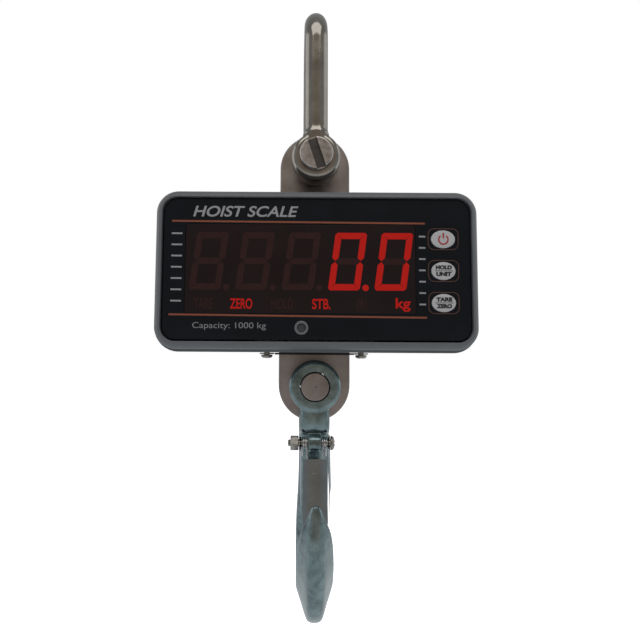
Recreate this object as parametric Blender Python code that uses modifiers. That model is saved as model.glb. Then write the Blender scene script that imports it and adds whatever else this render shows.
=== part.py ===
"""Hanging crane scale: shackle, load cell in a die-cast casing, clevis hook with latch.

Sizes are in millimetres and become metres in the helpers.  The origin is the inside
of the shackle's crown, where the hoist hook bears; the display faces -Y, up is +Z.
"""

import math

import bmesh
import bpy
from mathutils import Matrix, Vector

MM = 0.001
CLEAR = 0.3            # gap kept between pieces that touch
PIN_CLEAR = 0.35       # gap around each load pin, on the radius
TAP_CLEAR = 0.15       # gap around a screw in its tapped hole, on the radius
HOLE_CLEAR = 0.3       # gap around a screw or pin in a plain hole, on the radius
REACH = 40.0           # a cutter that has to pass right through

# shackle
BAR_D = 13.4
JAW = 25.6             # between the shackle's legs
UPPER_PIN_Z = -80.2
SHACKLE_PIN_D = 15.6
PIN_SHOULDER = 1.2     # pin head over the shank, on the radius
EAR_FACE_RIM = 0.7     # flat of the ear outside the pin head
EAR_ROUND = 3.7        # round between the ear's flat and its rim
PIN_HEAD_T = 2.9
PIN_END_PROUD = 0.4    # pin's threaded end past the rear ear
PIN_CHAMFER = 1.2
SLOT_W = 5.0
SLOT_DEEP = 1.8
SLOT_TILT = 18.0

# load cell plate
PLATE_W = 40.2
PLATE_T = 12.0
CHEEK_GAP = 0.7        # plate to the hook's ears, on each side
GAUGE_D = 24.0
GAUGE_DEEP = 3.0
GAUGE_FILL = 1.8       # thickness of the compound in each pocket
PLATE_EDGE = 0.6
CLAMP_TAP = 9.0        # depth of the tapped holes in the plate's edges
SLOT_GAP = 0.6         # casing to the plate that runs through it

# casing
CASE_W = 170.0
CASE_H = 85.4
CASE_R = 13.0
CASE_BELOW_PIN = 21.6  # upper pin to the casing's top
HOOK_BELOW_CASE = 18.5 # casing's bottom to the lower pin
CASE_FRONT_Y = -27.0
CASE_BACK_Y = 33.0
CASE_WALL = 2.8
BACK_ROUND = 4.5
GASKET_T = 0.9
GASKET_INSET = 2.4
FRAME_INSET = 1.4
FRAME_FRONT_Y = -36.2
LIP = 0.5
PANEL_BORDER = 6.2     # casing edge to the edge of the overlay
PANEL_DROP = 1.2       # overlay below the bezel's lip
FLOOR_T = 2.8
POST_R = 4.6
POST_IN = 10.5         # screw post, in from the casing's edges
SCREW_D = 3.4

# front panel
OVERLAY_T = 0.7
WINDOW_W = 118.2
WINDOW_H = 46.0
WINDOW_X = -8.4
WINDOW_UP = 0.1        # window's middle over the casing's
WINDOW_T = 1.6
WINDOW_R = 1.5
KEY_W = 12.5
KEY_H = 9.4
KEY_IN = 20.0          # casing's right edge to the keys' middle
KEY_TOP_UP = 15.9      # top key over the casing's middle
KEY_PITCH = 16.5
KEY_PROUD = 0.5
KEY_T = 3.6
KEY_TRAVEL = 0.4
KEY_GAP = 0.2
IR_D = 7.2
IR_X = -7.7
IR_UP = 12.5           # over the casing's bottom

# display and boards
DIGIT_PITCH = 23.6
DIGIT_H = 33.6
DIGIT_T = 7.4
DIGIT_UP = 4.7         # digits' middle over the window's
DIGITS = 5
LEGEND_H = 8.0
BOARD_T = 1.6
BOARD_GAP = 0.9        # board to the screw posts beside it
BOARD_TO_EDGE = 7.6    # board's bottom edge over the casing's bottom
BOARD_DOWN = 3.1       # board's middle under the casing's
STANDOFF_R = 2.4
STANDOFF_IN = 4.0
MAIN_W = 112.0
MAIN_H = 46.0
MAIN_GAP = 6.4
SWITCH = 6.0
SWITCH_CAP = 1.2       # switch's plunger outside its body
BUZZER_R = 6.0
BUZZER_T = 6.2
HEADER_W = 30.0
HEADER_H = 5.0
HEADER_DOWN = 12.0     # header's middle under the board's
HEADER_SINK = 0.5      # header let into its board

# rear of the casing
BATTERY_W = 50.0
BATTERY_H = 46.0
BATTERY_T = 28.0
BATTERY_IN = 34.0      # casing's left edge to the battery's middle
BATTERY_PAD = 3.0      # foam room between the battery and its door
DOOR_W = 62.0
DOOR_H = 52.0
DOOR_T = 2.1
DOOR_LEDGE = 8.0
DOOR_SCREW_R = 1.3
DOOR_SCREW_LEN = 8.6
SINK_R = 3.6           # counterbore of a casing screw
SINK_DEEP = 3.4
SOCKET_D = 10.4
SOCKET_IN = 33.0       # casing's right edge to the socket
SOCKET_UP = 18.6       # over the casing's bottom
CLAMP_W = 13.8
CLAMP_H = 15.0
UNDER_D = 4.0
WASHER_R = 4.2
WASHER_T = 0.8
CROSS_HEAD_R = 3.4
CROSS_HEAD_T = 2.4
SEAL_T = 1.0
SEAL_BORDER = 2.4

# hook
HOOK_PIN_D = 15.6
EAR_WALL = 6.4         # hook's ear outside its pin, on the radius
HOOK_PIN_PROUD = 0.2
CLEVIS_W = 38.0        # over both ears, along Y
EAR_CHAMFER = 1.2
FLOOR_GAP = 2.3        # plate's round end to the clevis floor
BOSS_W = 7.0
BOSS_R = 5.0
BOLT_Y = -14.0
BOLT_BELOW = 8.2       # clevis floor to the latch bolt
BOLT_D = 3.9
HEAD_D = 7.6
HEAD_T = 2.2
NUT_AF = 7.0
NUT_T = 4.4
ROLL_PIN_D = 3.0

# latch
LATCH_T = 1.2
LATCH_W = 16.8
LATCH_LEAN = 18.9      # degrees forward of straight down
LATCH_LEN = 40.3
LATCH_WEB = 4.5        # bolt axis to the outside of the web
LATCH_TOP = 9.0        # bolt axis to the web's top edge
CHEEK_R = 4.4
NECK_GAP = 0.9         # latch's cheeks to the hook's neck behind them
WIRE_D = 0.8
COIL_R = 3.0
COIL_GAP = 0.13        # between turns

# worked out from the values above
LEG_Y = (JAW + BAR_D) / 2
PIN_HEAD_D = SHACKLE_PIN_D + 2 * PIN_SHOULDER
SHACKLE_EAR_FACE_D = PIN_HEAD_D + 2 * EAR_FACE_RIM
SHACKLE_EAR_D = SHACKLE_EAR_FACE_D + 2 * EAR_ROUND
CASE_TOP_Z = UPPER_PIN_Z - CASE_BELOW_PIN
CASE_Z = CASE_TOP_Z - CASE_H / 2
CASE_BOTTOM_Z = CASE_TOP_Z - CASE_H
LOWER_PIN_Z = CASE_BOTTOM_Z - HOOK_BELOW_CASE
WINDOW_Z = CASE_Z + WINDOW_UP
KEY_X = CASE_W / 2 - KEY_IN
KEY_TOP_Z = CASE_Z + KEY_TOP_UP
IR_Z = CASE_BOTTOM_Z + IR_UP
DIGIT_X = WINDOW_X
DIGIT_Z = WINDOW_Z + DIGIT_UP
BOARD_Z = CASE_Z - BOARD_DOWN
BOARD_H = 2 * (BOARD_Z - CASE_BOTTOM_Z - BOARD_TO_EDGE)
BATTERY_X = BATTERY_IN - CASE_W / 2
SOCKET_X = CASE_W / 2 - SOCKET_IN
SOCKET_Z = CASE_BOTTOM_Z + SOCKET_UP
UNDER_X = PLATE_W / 2 + CLEAR + CLAMP_W / 2
HOOK_EAR_D = HOOK_PIN_D + 2 * EAR_WALL
CLEVIS_GAP = PLATE_T + 2 * CHEEK_GAP
CROTCH = PLATE_W / 2 + FLOOR_GAP
BOLT_DROP = CROTCH + BOLT_BELOW
ROLL_PIN_Y = (CLEVIS_GAP + CLEVIS_W) / 4
EAR_Y = CLEVIS_W / 2 - EAR_CHAMFER
NECK_Y = BOLT_Y + CHEEK_R + NECK_GAP
PANEL_Y = FRAME_FRONT_Y + PANEL_DROP
FLOOR_Y = PANEL_Y + OVERLAY_T + CLEAR
FLOOR_BACK_Y = FLOOR_Y + FLOOR_T
DIGIT_Y = PANEL_Y + WINDOW_T + CLEAR
BOARD_Y = DIGIT_Y + DIGIT_T + CLEAR
MAIN_Y = BOARD_Y + BOARD_T + MAIN_GAP
GASKET_Y = CASE_FRONT_Y - CLEAR - GASKET_T
FRAME_BACK_Y = GASKET_Y - CLEAR
POST_X = CASE_W / 2 - POST_IN
POST_Z = CASE_H / 2 - POST_IN
BOARD_W = 2 * (POST_X - POST_R - BOARD_GAP)
POST_END_Y = FLOOR_BACK_Y + 9.0
BACK_IN_Y = CASE_BACK_Y - CASE_WALL
BOLT_Z = LOWER_PIN_Z - BOLT_DROP
DOOR_Y = CASE_BACK_Y - DOOR_T
KEY_NAMES = ("power", "hold", "tare")
SIDES = (("left", -1), ("right", 1))


# ---------------------------------------------------------------- scene helpers
def clear_scene():
    for obj in list(bpy.data.objects):
        bpy.data.objects.remove(obj)


def new_collection(name):
    collection = bpy.data.collections.new(name)
    bpy.context.scene.collection.children.link(collection)
    return collection


def material(name, colour, roughness, metallic=0.0):
    mat = bpy.data.materials.new(name)
    mat.use_nodes = True
    shader = mat.node_tree.nodes["Principled BSDF"]
    shader.inputs["Base Color"].default_value = (*colour, 1.0)
    shader.inputs["Roughness"].default_value = roughness
    shader.inputs["Metallic"].default_value = metallic
    mat.diffuse_color = (*colour, 1.0)
    return mat


def put(mesh, name, mat=None):
    """Link a mesh as a part, or as a cutter when it has no material."""
    obj = bpy.data.objects.new(name, mesh)
    if mat is None:
        CUTTERS.objects.link(obj)
        obj.hide_render = True
        obj.display_type = "WIRE"
    else:
        PARTS.objects.link(obj)
        mesh.materials.append(mat)
    return obj


def mesh_from(bm, name):
    """Merge the seams of a bmesh, turn its faces outwards and make it a mesh."""
    bmesh.ops.remove_doubles(bm, verts=bm.verts, dist=0.00001)
    bmesh.ops.recalc_face_normals(bm, faces=bm.faces)
    mesh = bpy.data.meshes.new(name)
    bm.to_mesh(mesh)
    bm.free()
    return mesh


def evaluated(obj):
    """The mesh that an object's curve or modifiers give, with its seams merged."""
    graph = bpy.context.evaluated_depsgraph_get()
    raw = bpy.data.meshes.new_from_object(obj.evaluated_get(graph))
    bm = bmesh.new()
    bm.from_mesh(raw)
    name = obj.name
    data = obj.data
    bpy.data.objects.remove(obj)
    bpy.data.meshes.remove(raw)
    if isinstance(data, bpy.types.Curve):
        bpy.data.curves.remove(data)
    else:
        bpy.data.meshes.remove(data)
    return mesh_from(bm, name)


def set_origin(obj, point):
    """Move an object's origin onto its joint's axis and leave its shape in place."""
    shift = Vector(point) * MM
    obj.data.transform(Matrix.Translation(-shift))
    obj.location = shift


def bevel(obj, width, segments=2, angle=50.0):
    mod = obj.modifiers.new("edges", "BEVEL")
    mod.width = width * MM
    mod.segments = segments
    mod.limit_method = "ANGLE"
    mod.angle_limit = math.radians(angle)


def boolean(obj, other, operation):
    mod = obj.modifiers.new(operation.lower() + "_" + other.name, "BOOLEAN")
    mod.operation = operation
    mod.solver = "EXACT"
    mod.object = other


def cut(obj, *cutters):
    for cutter in cutters:
        boolean(obj, cutter, "DIFFERENCE")


def join(obj, *others):
    for other in others:
        boolean(obj, other, "UNION")


# ---------------------------------------------------------------- shapes
def arc(cx, cy, r, start, end, steps):
    """Points on an arc, in degrees, both ends kept."""
    turn = [math.radians(start + (end - start) * i / steps) for i in range(steps + 1)]
    return [(cx + r * math.cos(a), cy + r * math.sin(a)) for a in turn]


def circle(r, cx=0.0, cy=0.0, steps=24):
    return arc(cx, cy, r, 0, 360, steps)[:-1]


def oval(w, h, cx, cy, steps=24):
    turn = [2 * math.pi * i / steps for i in range(steps)]
    return [(cx + w / 2 * math.cos(a), cy + h / 2 * math.sin(a)) for a in turn]


def round_rect(w, h, r, cx=0.0, cy=0.0, steps=6):
    x = w / 2 - r
    y = h / 2 - r
    return (
        arc(cx + x, cy + y, r, 0, 90, steps)
        + arc(cx - x, cy + y, r, 90, 180, steps)
        + arc(cx - x, cy - y, r, 180, 270, steps)
        + arc(cx + x, cy - y, r, 270, 360, steps)
    )


FACING = {
    "Y": Matrix.Rotation(math.radians(90), 4, "X"),                    # (a, b) is (X, Z)
    "X": Matrix(((0, 0, 1, 0), (1, 0, 0, 0), (0, 1, 0, 0), (0, 0, 0, 1))),   # (Y, Z)
    "Z": Matrix.Identity(4),                                           # (X, Y)
}


def slab(name, loops, low, high, mat=None, axis="Y"):
    """A flat outline, with holes, given thickness along an axis from low to high."""
    curve = bpy.data.curves.new(name, "CURVE")
    curve.dimensions = "2D"
    curve.fill_mode = "BOTH"
    curve.extrude = (high - low) / 2 * MM
    for loop in loops:
        spline = curve.splines.new("POLY")
        spline.points.add(len(loop) - 1)
        for point, (a, b) in zip(spline.points, loop):
            point.co = (a * MM, b * MM, 0.0, 1.0)
        spline.use_cyclic_u = True
    flat = bpy.data.objects.new(name, curve)
    CUTTERS.objects.link(flat)
    mesh = evaluated(flat)
    middle = (low + high) / 2 * MM
    offset = {"X": (middle, 0, 0), "Y": (0, middle, 0), "Z": (0, 0, middle)}[axis]
    mesh.transform(Matrix.Translation(offset) @ FACING[axis])
    return put(mesh, name, mat)


def box(name, size, centre, mat=None):
    bm = bmesh.new()
    bmesh.ops.create_cube(bm, size=1.0)
    bmesh.ops.scale(bm, vec=Vector(size) * MM, verts=bm.verts)
    bmesh.ops.translate(bm, vec=Vector(centre) * MM, verts=bm.verts)
    return put(mesh_from(bm, name), name, mat)


TURN = {
    "X": Matrix.Rotation(math.radians(90), 4, "Y"),
    "Y": Matrix.Rotation(math.radians(-90), 4, "X"),
    "Z": Matrix.Identity(4),
}


def turned(name, profile, centre, axis, mat=None, steps=24):
    """A profile of (radius, place along the axis) turned round the axis."""
    bm = bmesh.new()
    verts = [bm.verts.new((r * MM, 0.0, t * MM)) for r, t in profile]
    for a, b in zip(verts, verts[1:]):
        bm.edges.new((a, b))
    mesh = bpy.data.meshes.new(name)
    bm.to_mesh(mesh)
    bm.free()
    spun = bpy.data.objects.new(name, mesh)
    CUTTERS.objects.link(spun)
    screw = spun.modifiers.new("turn", "SCREW")
    screw.axis = "Z"
    screw.steps = steps
    screw.render_steps = steps
    screw.use_merge_vertices = True
    screw.merge_threshold = 0.00001
    mesh = evaluated(spun)
    mesh.transform(Matrix.Translation(Vector(centre) * MM) @ TURN[axis])
    return put(mesh, name, mat)


def rod(name, r, low, high, centre, axis, mat=None, steps=24, edge=0.0):
    """A cylinder from low to high along an axis, with chamfered ends if edge is given."""
    if edge:
        profile = [(0, low), (r - edge, low), (r, low + edge), (r, high - edge), (r - edge, high), (0, high)]
    else:
        profile = [(0, low), (r, low), (r, high), (0, high)]
    return turned(name, profile, centre, axis, mat, steps)


def wire(name, points, radius, mat, resolution=2):
    """A round wire through points, with filled ends."""
    curve = bpy.data.curves.new(name, "CURVE")
    curve.dimensions = "3D"
    curve.bevel_depth = radius * MM
    curve.bevel_resolution = resolution
    curve.use_fill_caps = True
    spline = curve.splines.new("POLY")
    spline.points.add(len(points) - 1)
    for point, place in zip(spline.points, points):
        point.co = (*(Vector(place) * MM), 1.0)
    line = bpy.data.objects.new(name, curve)
    CUTTERS.objects.link(line)
    return put(evaluated(line), name, mat)


def loft(name, rings, mat=None):
    """A solid through rings of equal length, closed at both ends; points are (x, y, z)."""
    bm = bmesh.new()
    rows = [[bm.verts.new(Vector(p) * MM) for p in ring] for ring in rings]
    count = len(rings[0])
    for low, high in zip(rows, rows[1:]):
        for i in range(count):
            j = (i + 1) % count
            bm.faces.new((low[i], low[j], high[j], high[i]))
    bm.faces.new(rows[0][::-1])
    bm.faces.new(rows[-1])
    return put(mesh_from(bm, name), name, mat)


def case_ring(inset, y, steps=6):
    """The casing's outline moved in by inset, at y."""
    r = max(CASE_R - inset, 1.0)
    outline = round_rect(CASE_W - 2 * inset, CASE_H - 2 * inset, r, 0.0, CASE_Z, steps)
    return [(x, y, z) for x, z in outline]


def smooth(points, count):
    """Points spread along a smooth curve through the given ones."""
    ends = [points[0], *points, points[-1]]
    spans = len(points) - 1
    out = []
    for k in range(count):
        place = spans * k / (count - 1)
        i = min(int(place), spans - 1)
        t = place - i
        a, b, c, d = (Vector(p) for p in ends[i:i + 4])
        out.append(0.5 * (2 * b + (c - a) * t + (2 * a - 5 * b + 4 * c - d) * t ** 2
                          + (3 * b - 3 * c + d - a) * t ** 3))
    return out


# ---------------------------------------------------------------- shackle
def shackle_bow():
    """A round bar bent into a long bow, with a flat-faced ear on each leg."""
    arch_z = BAR_D / 2 - LEG_Y
    arch = [(0, y, z) for y, z in arc(0, arch_z, LEG_Y, 0, 180, 12)]
    path = [(0, LEG_Y, UPPER_PIN_Z), *arch, (0, -LEG_Y, UPPER_PIN_Z)]
    bow = wire("shackle_bow", path, BAR_D / 2, STEEL, 3)
    half = SHACKLE_EAR_D / 2
    face = SHACKLE_EAR_FACE_D / 2
    rim = half - face
    for name, side in (("front", -1), ("rear", 1)):
        inner = JAW / 2
        outer = inner + BAR_D
        profile = [(0, inner), (half - 1.5, inner), (half, inner + 2.5), (half, outer - rim - 0.5),
                   (half - 1.2, outer - rim + 1.4), (face, outer), (0, outer)]
        flip = [(r, side * t) for r, t in profile]
        ear = turned("ear_" + name, flip, (0, 0, UPPER_PIN_Z), "Y", None, 28)
        join(bow, ear)
    r = SHACKLE_PIN_D / 2 + PIN_CLEAR
    bore = rod("shackle_bore", r, -REACH, REACH, (0, 0, UPPER_PIN_Z), "Y", None, 28)
    cut(bow, bore)
    return bow


def shackle_pin():
    """The slotted screw pin; its origin is on the axis that it is drawn out along."""
    r = SHACKLE_PIN_D / 2
    face = -(JAW / 2 + BAR_D + CLEAR)
    top = face - PIN_HEAD_T
    end = JAW / 2 + BAR_D + PIN_END_PROUD
    head = PIN_HEAD_D / 2
    profile = [(0, top), (head - 1.0, top), (head, top + 1.0), (head, face), (r, face),
               (r, end - PIN_CHAMFER), (r - PIN_CHAMFER, end), (0, end)]
    pin = turned("shackle_pin", profile, (0, 0, UPPER_PIN_Z), "Y", PIN_STEEL, 28)
    slot = box("pin_slot", (SLOT_W, 2 * SLOT_DEEP, PIN_HEAD_D + 4), (0, 0, 0))
    slot.rotation_euler.y = math.radians(-SLOT_TILT)
    slot.location = Vector((0, top, UPPER_PIN_Z)) * MM
    cut(pin, slot)
    set_origin(pin, (0, 0, UPPER_PIN_Z))
    return pin


# ---------------------------------------------------------------- load cell
def load_cell():
    """A thick plate with round ends, a pin hole at each end and two gauge pockets."""
    r = PLATE_W / 2
    outline = arc(0, UPPER_PIN_Z, r, 0, 180, 16) + arc(0, LOWER_PIN_Z, r, 180, 360, 16)
    upper = circle(SHACKLE_PIN_D / 2 + PIN_CLEAR, 0, UPPER_PIN_Z, 28)
    lower = circle(HOOK_PIN_D / 2 + PIN_CLEAR, 0, LOWER_PIN_Z, 28)
    plate = slab("load_cell", [outline, upper, lower], -PLATE_T / 2, PLATE_T / 2, PLATE)
    bevel(plate, PLATE_EDGE, 1)
    for name, side in SIDES:
        ends = sorted((side * (PLATE_W / 2 - CLAMP_TAP), side * (PLATE_W / 2 + 1)))
        hole = rod("clamp_tap_" + name, UNDER_D / 2 + TAP_CLEAR, *ends, (0, 0, cross_z()), "X", None, 16)
        cut(plate, hole)
    for name, side in (("front", -1), ("back", 1)):
        ends = sorted((side * (PLATE_T / 2 - GAUGE_DEEP), side * (PLATE_T / 2 + 1)))
        cut(plate, rod("gauge_pocket_" + name, GAUGE_D / 2, *ends, (0, 0, CASE_Z), "Y", None, 24))


def clamp_z():
    """Height of the blocks that hold the casing to the load cell."""
    return CASE_BOTTOM_Z + CASE_WALL + CLEAR + CLAMP_H / 2


def cross_z():
    """Height of the cross screws, above the ends of the underside screws."""
    return clamp_z() + UNDER_D


def gauge_covers():
    for name, side in (("front", -1), ("back", 1)):
        near = PLATE_T / 2 - GAUGE_DEEP + CLEAR
        ends = sorted((side * near, side * (near + GAUGE_FILL)))
        rod("gauge_cover_" + name, GAUGE_D / 2 - 0.4, *ends, (0, 0, CASE_Z), "Y", COMPOUND, 24, 0.3)


def clamps():
    """A block on each side of the plate, screwed to it and up from the casing's floor."""
    bottom = CASE_BOTTOM_Z
    z = clamp_z()
    for name, side in SIDES:
        inner = PLATE_W / 2 + CLEAR
        x = side * (inner + CLAMP_W / 2)
        block = box("cell_clamp_" + name, (CLAMP_W, PLATE_T, CLAMP_H), (x, 0, z), ALUMINIUM)
        tap = rod("under_tap_" + name, UNDER_D / 2 + TAP_CLEAR, z - CLAMP_H, z - 0.5,
                  (side * UNDER_X, 0, 0), "Z", None, 16)
        ends = sorted((side * (inner - 1), side * (inner + CLAMP_W + 1)))
        through = rod("clamp_hole_" + name, UNDER_D / 2 + TAP_CLEAR, *ends, (0, 0, cross_z()), "X", None, 16)
        cut(block, tap, through)
        outer = inner + CLAMP_W + CLEAR
        r = UNDER_D / 2
        top = outer + CROSS_HEAD_T
        tip = inner - CLAMP_TAP + 2 * CLEAR
        head = [(0, top), (CROSS_HEAD_R, top), (CROSS_HEAD_R, outer), (r, outer), (r, tip), (0, tip)]
        turned("clamp_screw_" + name, [(a, side * b) for a, b in head], (0, 0, cross_z()), "X", ZINC, 16)
        washer = bottom - CLEAR
        slab("underside_washer_" + name,
             [circle(WASHER_R, side * UNDER_X, 0, 20), circle(r + TAP_CLEAR, side * UNDER_X, 0, 16)],
             washer - WASHER_T, washer, ZINC, "Z")
        top = washer - WASHER_T - CLEAR
        dome = [(0, top - 2.0), (1.6, top - 1.9), (2.7, top - 1.3), (3.3, top), (r, top),
                (r, z - 1.2), (0, z - 1.2)]
        turned("underside_screw_" + name, dome, (side * UNDER_X, 0, 0), "Z", ZINC, 16)


def seals():
    """A rubber frame round the plate where it leaves the casing, top and bottom."""
    hole = round_rect(PLATE_W + 2 * CLEAR, PLATE_T + 2 * CLEAR, 0.8, 0, 0, 2)
    rim = round_rect(PLATE_W + 2 * SEAL_BORDER, PLATE_T + 2 * SEAL_BORDER, 2.0, 0, 0, 4)
    slab("upper_seal", [rim, hole], CASE_TOP_Z + CLEAR, CASE_TOP_Z + CLEAR + SEAL_T, RUBBER, "Z")
    slab("lower_seal", [rim, hole], CASE_BOTTOM_Z - CLEAR - SEAL_T, CASE_BOTTOM_Z - CLEAR, RUBBER, "Z")


# ---------------------------------------------------------------- casing
def post_places():
    return [(sx * POST_X, CASE_Z + sz * POST_Z) for sx in (-1, 1) for sz in (-1, 1)]


def rear_cover():
    """The deep half of the casing: a cast tub with four screw posts and the rear openings."""
    back = CASE_BACK_Y
    turn = [math.radians(15 * i) for i in range(7)]
    rear = [(BACK_ROUND * (1 - math.cos(a)), back - BACK_ROUND * (1 - math.sin(a))) for a in turn]
    rings = [case_ring(0, CASE_FRONT_Y)] + [case_ring(i, y) for i, y in rear]
    cover = loft("rear_cover", rings, CASE)
    hollow = [case_ring(CASE_WALL, CASE_FRONT_Y - 1), case_ring(CASE_WALL, BACK_IN_Y - 3),
              case_ring(CASE_WALL + 1.0, BACK_IN_Y - 1), case_ring(CASE_WALL + 3.0, BACK_IN_Y)]
    cut(cover, loft("casing_hollow", hollow))
    for i, (x, z) in enumerate(post_places()):
        join(cover, rod(f"post_{i}", POST_R, POST_END_Y + CLEAR, back - 1, (x, 0, z), "Y", None, 20))
        r = SCREW_D / 2 + HOLE_CLEAR
        hole = rod(f"post_hole_{i}", r, POST_END_Y - 2, back + 2, (x, 0, z), "Y", None, 16)
        sink = rod(f"post_sink_{i}", SINK_R, back - SINK_DEEP, back + 2, (x, 0, z), "Y", None, 20)
        cut(cover, hole, sink)
    slot = (PLATE_W + 2 * SLOT_GAP, PLATE_T + 2 * SLOT_GAP, CASE_H + 10)
    cut(cover, box("plate_slot", slot, (0, 0, CASE_Z)))
    for name, side in SIDES:
        hole = rod("under_hole_" + name, UNDER_D / 2 + HOLE_CLEAR, CASE_BOTTOM_Z - 2,
                   CASE_BOTTOM_Z + CASE_WALL + 2, (side * UNDER_X, 0, 0), "Z", None, 16)
        cut(cover, hole)
        x = BATTERY_X + side * (DOOR_W - DOOR_LEDGE) / 2
        pad = box("door_pad_" + name, (DOOR_LEDGE, 4.0, DOOR_H), (x, BACK_IN_Y - 1.8, CASE_Z))
        join(cover, pad)
    inner = (DOOR_W - 2 * DOOR_LEDGE, 20, DOOR_H - 4)
    cut(cover, box("battery_opening", inner, (BATTERY_X, back, CASE_Z)))
    rebate = (DOOR_W, 2 * (DOOR_T + CLEAR), DOOR_H)
    cut(cover, box("door_rebate", rebate, (BATTERY_X, back, CASE_Z)))
    for name, side in SIDES:
        x = BATTERY_X + side * (DOOR_W - DOOR_LEDGE) / 2
        tap = DOOR_SCREW_R + TAP_CLEAR
        cut(cover, rod("door_tap_" + name, tap, back - 12, back, (x, 0, CASE_Z), "Y", None, 14))
    r = SOCKET_D / 2 + CLEAR
    socket = rod("socket_hole", r, back - 6, back + 2, (SOCKET_X, 0, SOCKET_Z), "Y", None, 24)
    cut(cover, socket)
    return cover


def casing_gasket():
    rings = [case_ring(GASKET_INSET, 0), case_ring(GASKET_INSET + 2.0, 0)]
    loops = [[(x, z) for x, y, z in ring] for ring in rings]
    slab("casing_gasket", loops, GASKET_Y, GASKET_Y + GASKET_T, RUBBER)


def front_frame():
    """The bezel: a rounded rim round a recessed floor with openings for window and keys."""
    inner = PANEL_BORDER - CLEAR
    profile = [(inner - 1.0, FLOOR_BACK_Y), (inner - 1.0, FRAME_BACK_Y), (FRAME_INSET, FRAME_BACK_Y),
               (FRAME_INSET, FRAME_FRONT_Y + 4.6), (FRAME_INSET + 0.7, FRAME_FRONT_Y + 2.7),
               (FRAME_INSET + 2.1, FRAME_FRONT_Y + 1.1), (inner - LIP - 0.6, FRAME_FRONT_Y + 0.15),
               (inner - LIP, FRAME_FRONT_Y), (inner, FRAME_FRONT_Y + 0.25), (inner, FLOOR_Y)]
    frame = loft("front_frame", [case_ring(i, y) for i, y in profile], CASE)
    for i, (x, z) in enumerate(post_places()):
        join(frame, rod(f"boss_{i}", POST_R, FLOOR_BACK_Y - 1, POST_END_Y, (x, 0, z), "Y", None, 20))
        r = SCREW_D / 2 + TAP_CLEAR
        cut(frame, rod(f"boss_tap_{i}", r, FLOOR_BACK_Y, POST_END_Y + 2, (x, 0, z), "Y", None, 16))
    deep = (FLOOR_Y - 3, FLOOR_BACK_Y + 3)
    size = (WINDOW_W + 2 * CLEAR, WINDOW_H + 2 * CLEAR, WINDOW_R + CLEAR)
    window = round_rect(*size, WINDOW_X, WINDOW_Z, 3)
    cut(frame, slab("window_cut", [window], *deep))
    for name, z in key_places():
        hole = oval(KEY_W + 2 * KEY_GAP, KEY_H + 2 * KEY_GAP, KEY_X, z)
        cut(frame, slab("key_cut_" + name, [hole], *deep))
    cut(frame, slab("ir_cut", [circle(IR_D / 2 + 0.2, IR_X, IR_Z)], *deep))
    return frame


def key_places():
    return [(name, KEY_TOP_Z - i * KEY_PITCH) for i, name in enumerate(KEY_NAMES)]


def overlay_panel():
    edge = case_ring(PANEL_BORDER, 0)
    loops = [[(x, z) for x, y, z in edge]]
    loops.append(round_rect(WINDOW_W + 0.4, WINDOW_H + 0.4, WINDOW_R + 0.2, WINDOW_X, WINDOW_Z, 3))
    for name, z in key_places():
        loops.append(oval(KEY_W + 2 * KEY_GAP, KEY_H + 2 * KEY_GAP, KEY_X, z))
    loops.append(circle(IR_D / 2 + 0.2, IR_X, IR_Z))
    slab("overlay_panel", loops, PANEL_Y, PANEL_Y + OVERLAY_T, OVERLAY)


def display_window():
    outline = round_rect(WINDOW_W, WINDOW_H, WINDOW_R, WINDOW_X, WINDOW_Z, 3)
    slab("display_window", [outline], PANEL_Y, PANEL_Y + WINDOW_T, TINT)


def keys():
    """Three domed keys; each has its origin on its own line of travel."""
    for name, z in key_places():
        front = PANEL_Y - KEY_PROUD
        rings = []
        for shrink, y in ((1.6, front), (0.5, front + 0.25), (0.0, front + 0.8), (0.0, front + KEY_T)):
            outline = oval(KEY_W - shrink, KEY_H - shrink, KEY_X, z)
            rings.append([(x, y, h) for x, h in outline])
        key = loft("key_" + name, rings, KEY)
        set_origin(key, (KEY_X, PANEL_Y, z))


def ir_window():
    front = PANEL_Y - 0.3
    r = IR_D / 2
    profile = [(0, front + 0.9), (r - 1.3, front + 0.9), (r - 1.1, front), (r - 0.4, front),
               (r, front + 0.4), (r, front + 3.2), (0, front + 3.2)]
    turned("ir_window", profile, (IR_X, 0, IR_Z), "Y", LENS, 24)


# ---------------------------------------------------------------- electronics
def display_modules():
    for i in range(DIGITS):
        x = DIGIT_X + (i - (DIGITS - 1) / 2) * DIGIT_PITCH
        size = (DIGIT_PITCH - CLEAR, DIGIT_T, DIGIT_H)
        box(f"digit_{i + 1}", size, (x, DIGIT_Y + DIGIT_T / 2, DIGIT_Z), DIGIT)
    z = DIGIT_Z - DIGIT_H / 2 - CLEAR - LEGEND_H / 2
    size = (DIGITS * DIGIT_PITCH - CLEAR, DIGIT_T, LEGEND_H)
    box("legend_bar", size, (DIGIT_X, DIGIT_Y + DIGIT_T / 2, z), DIGIT)


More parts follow.
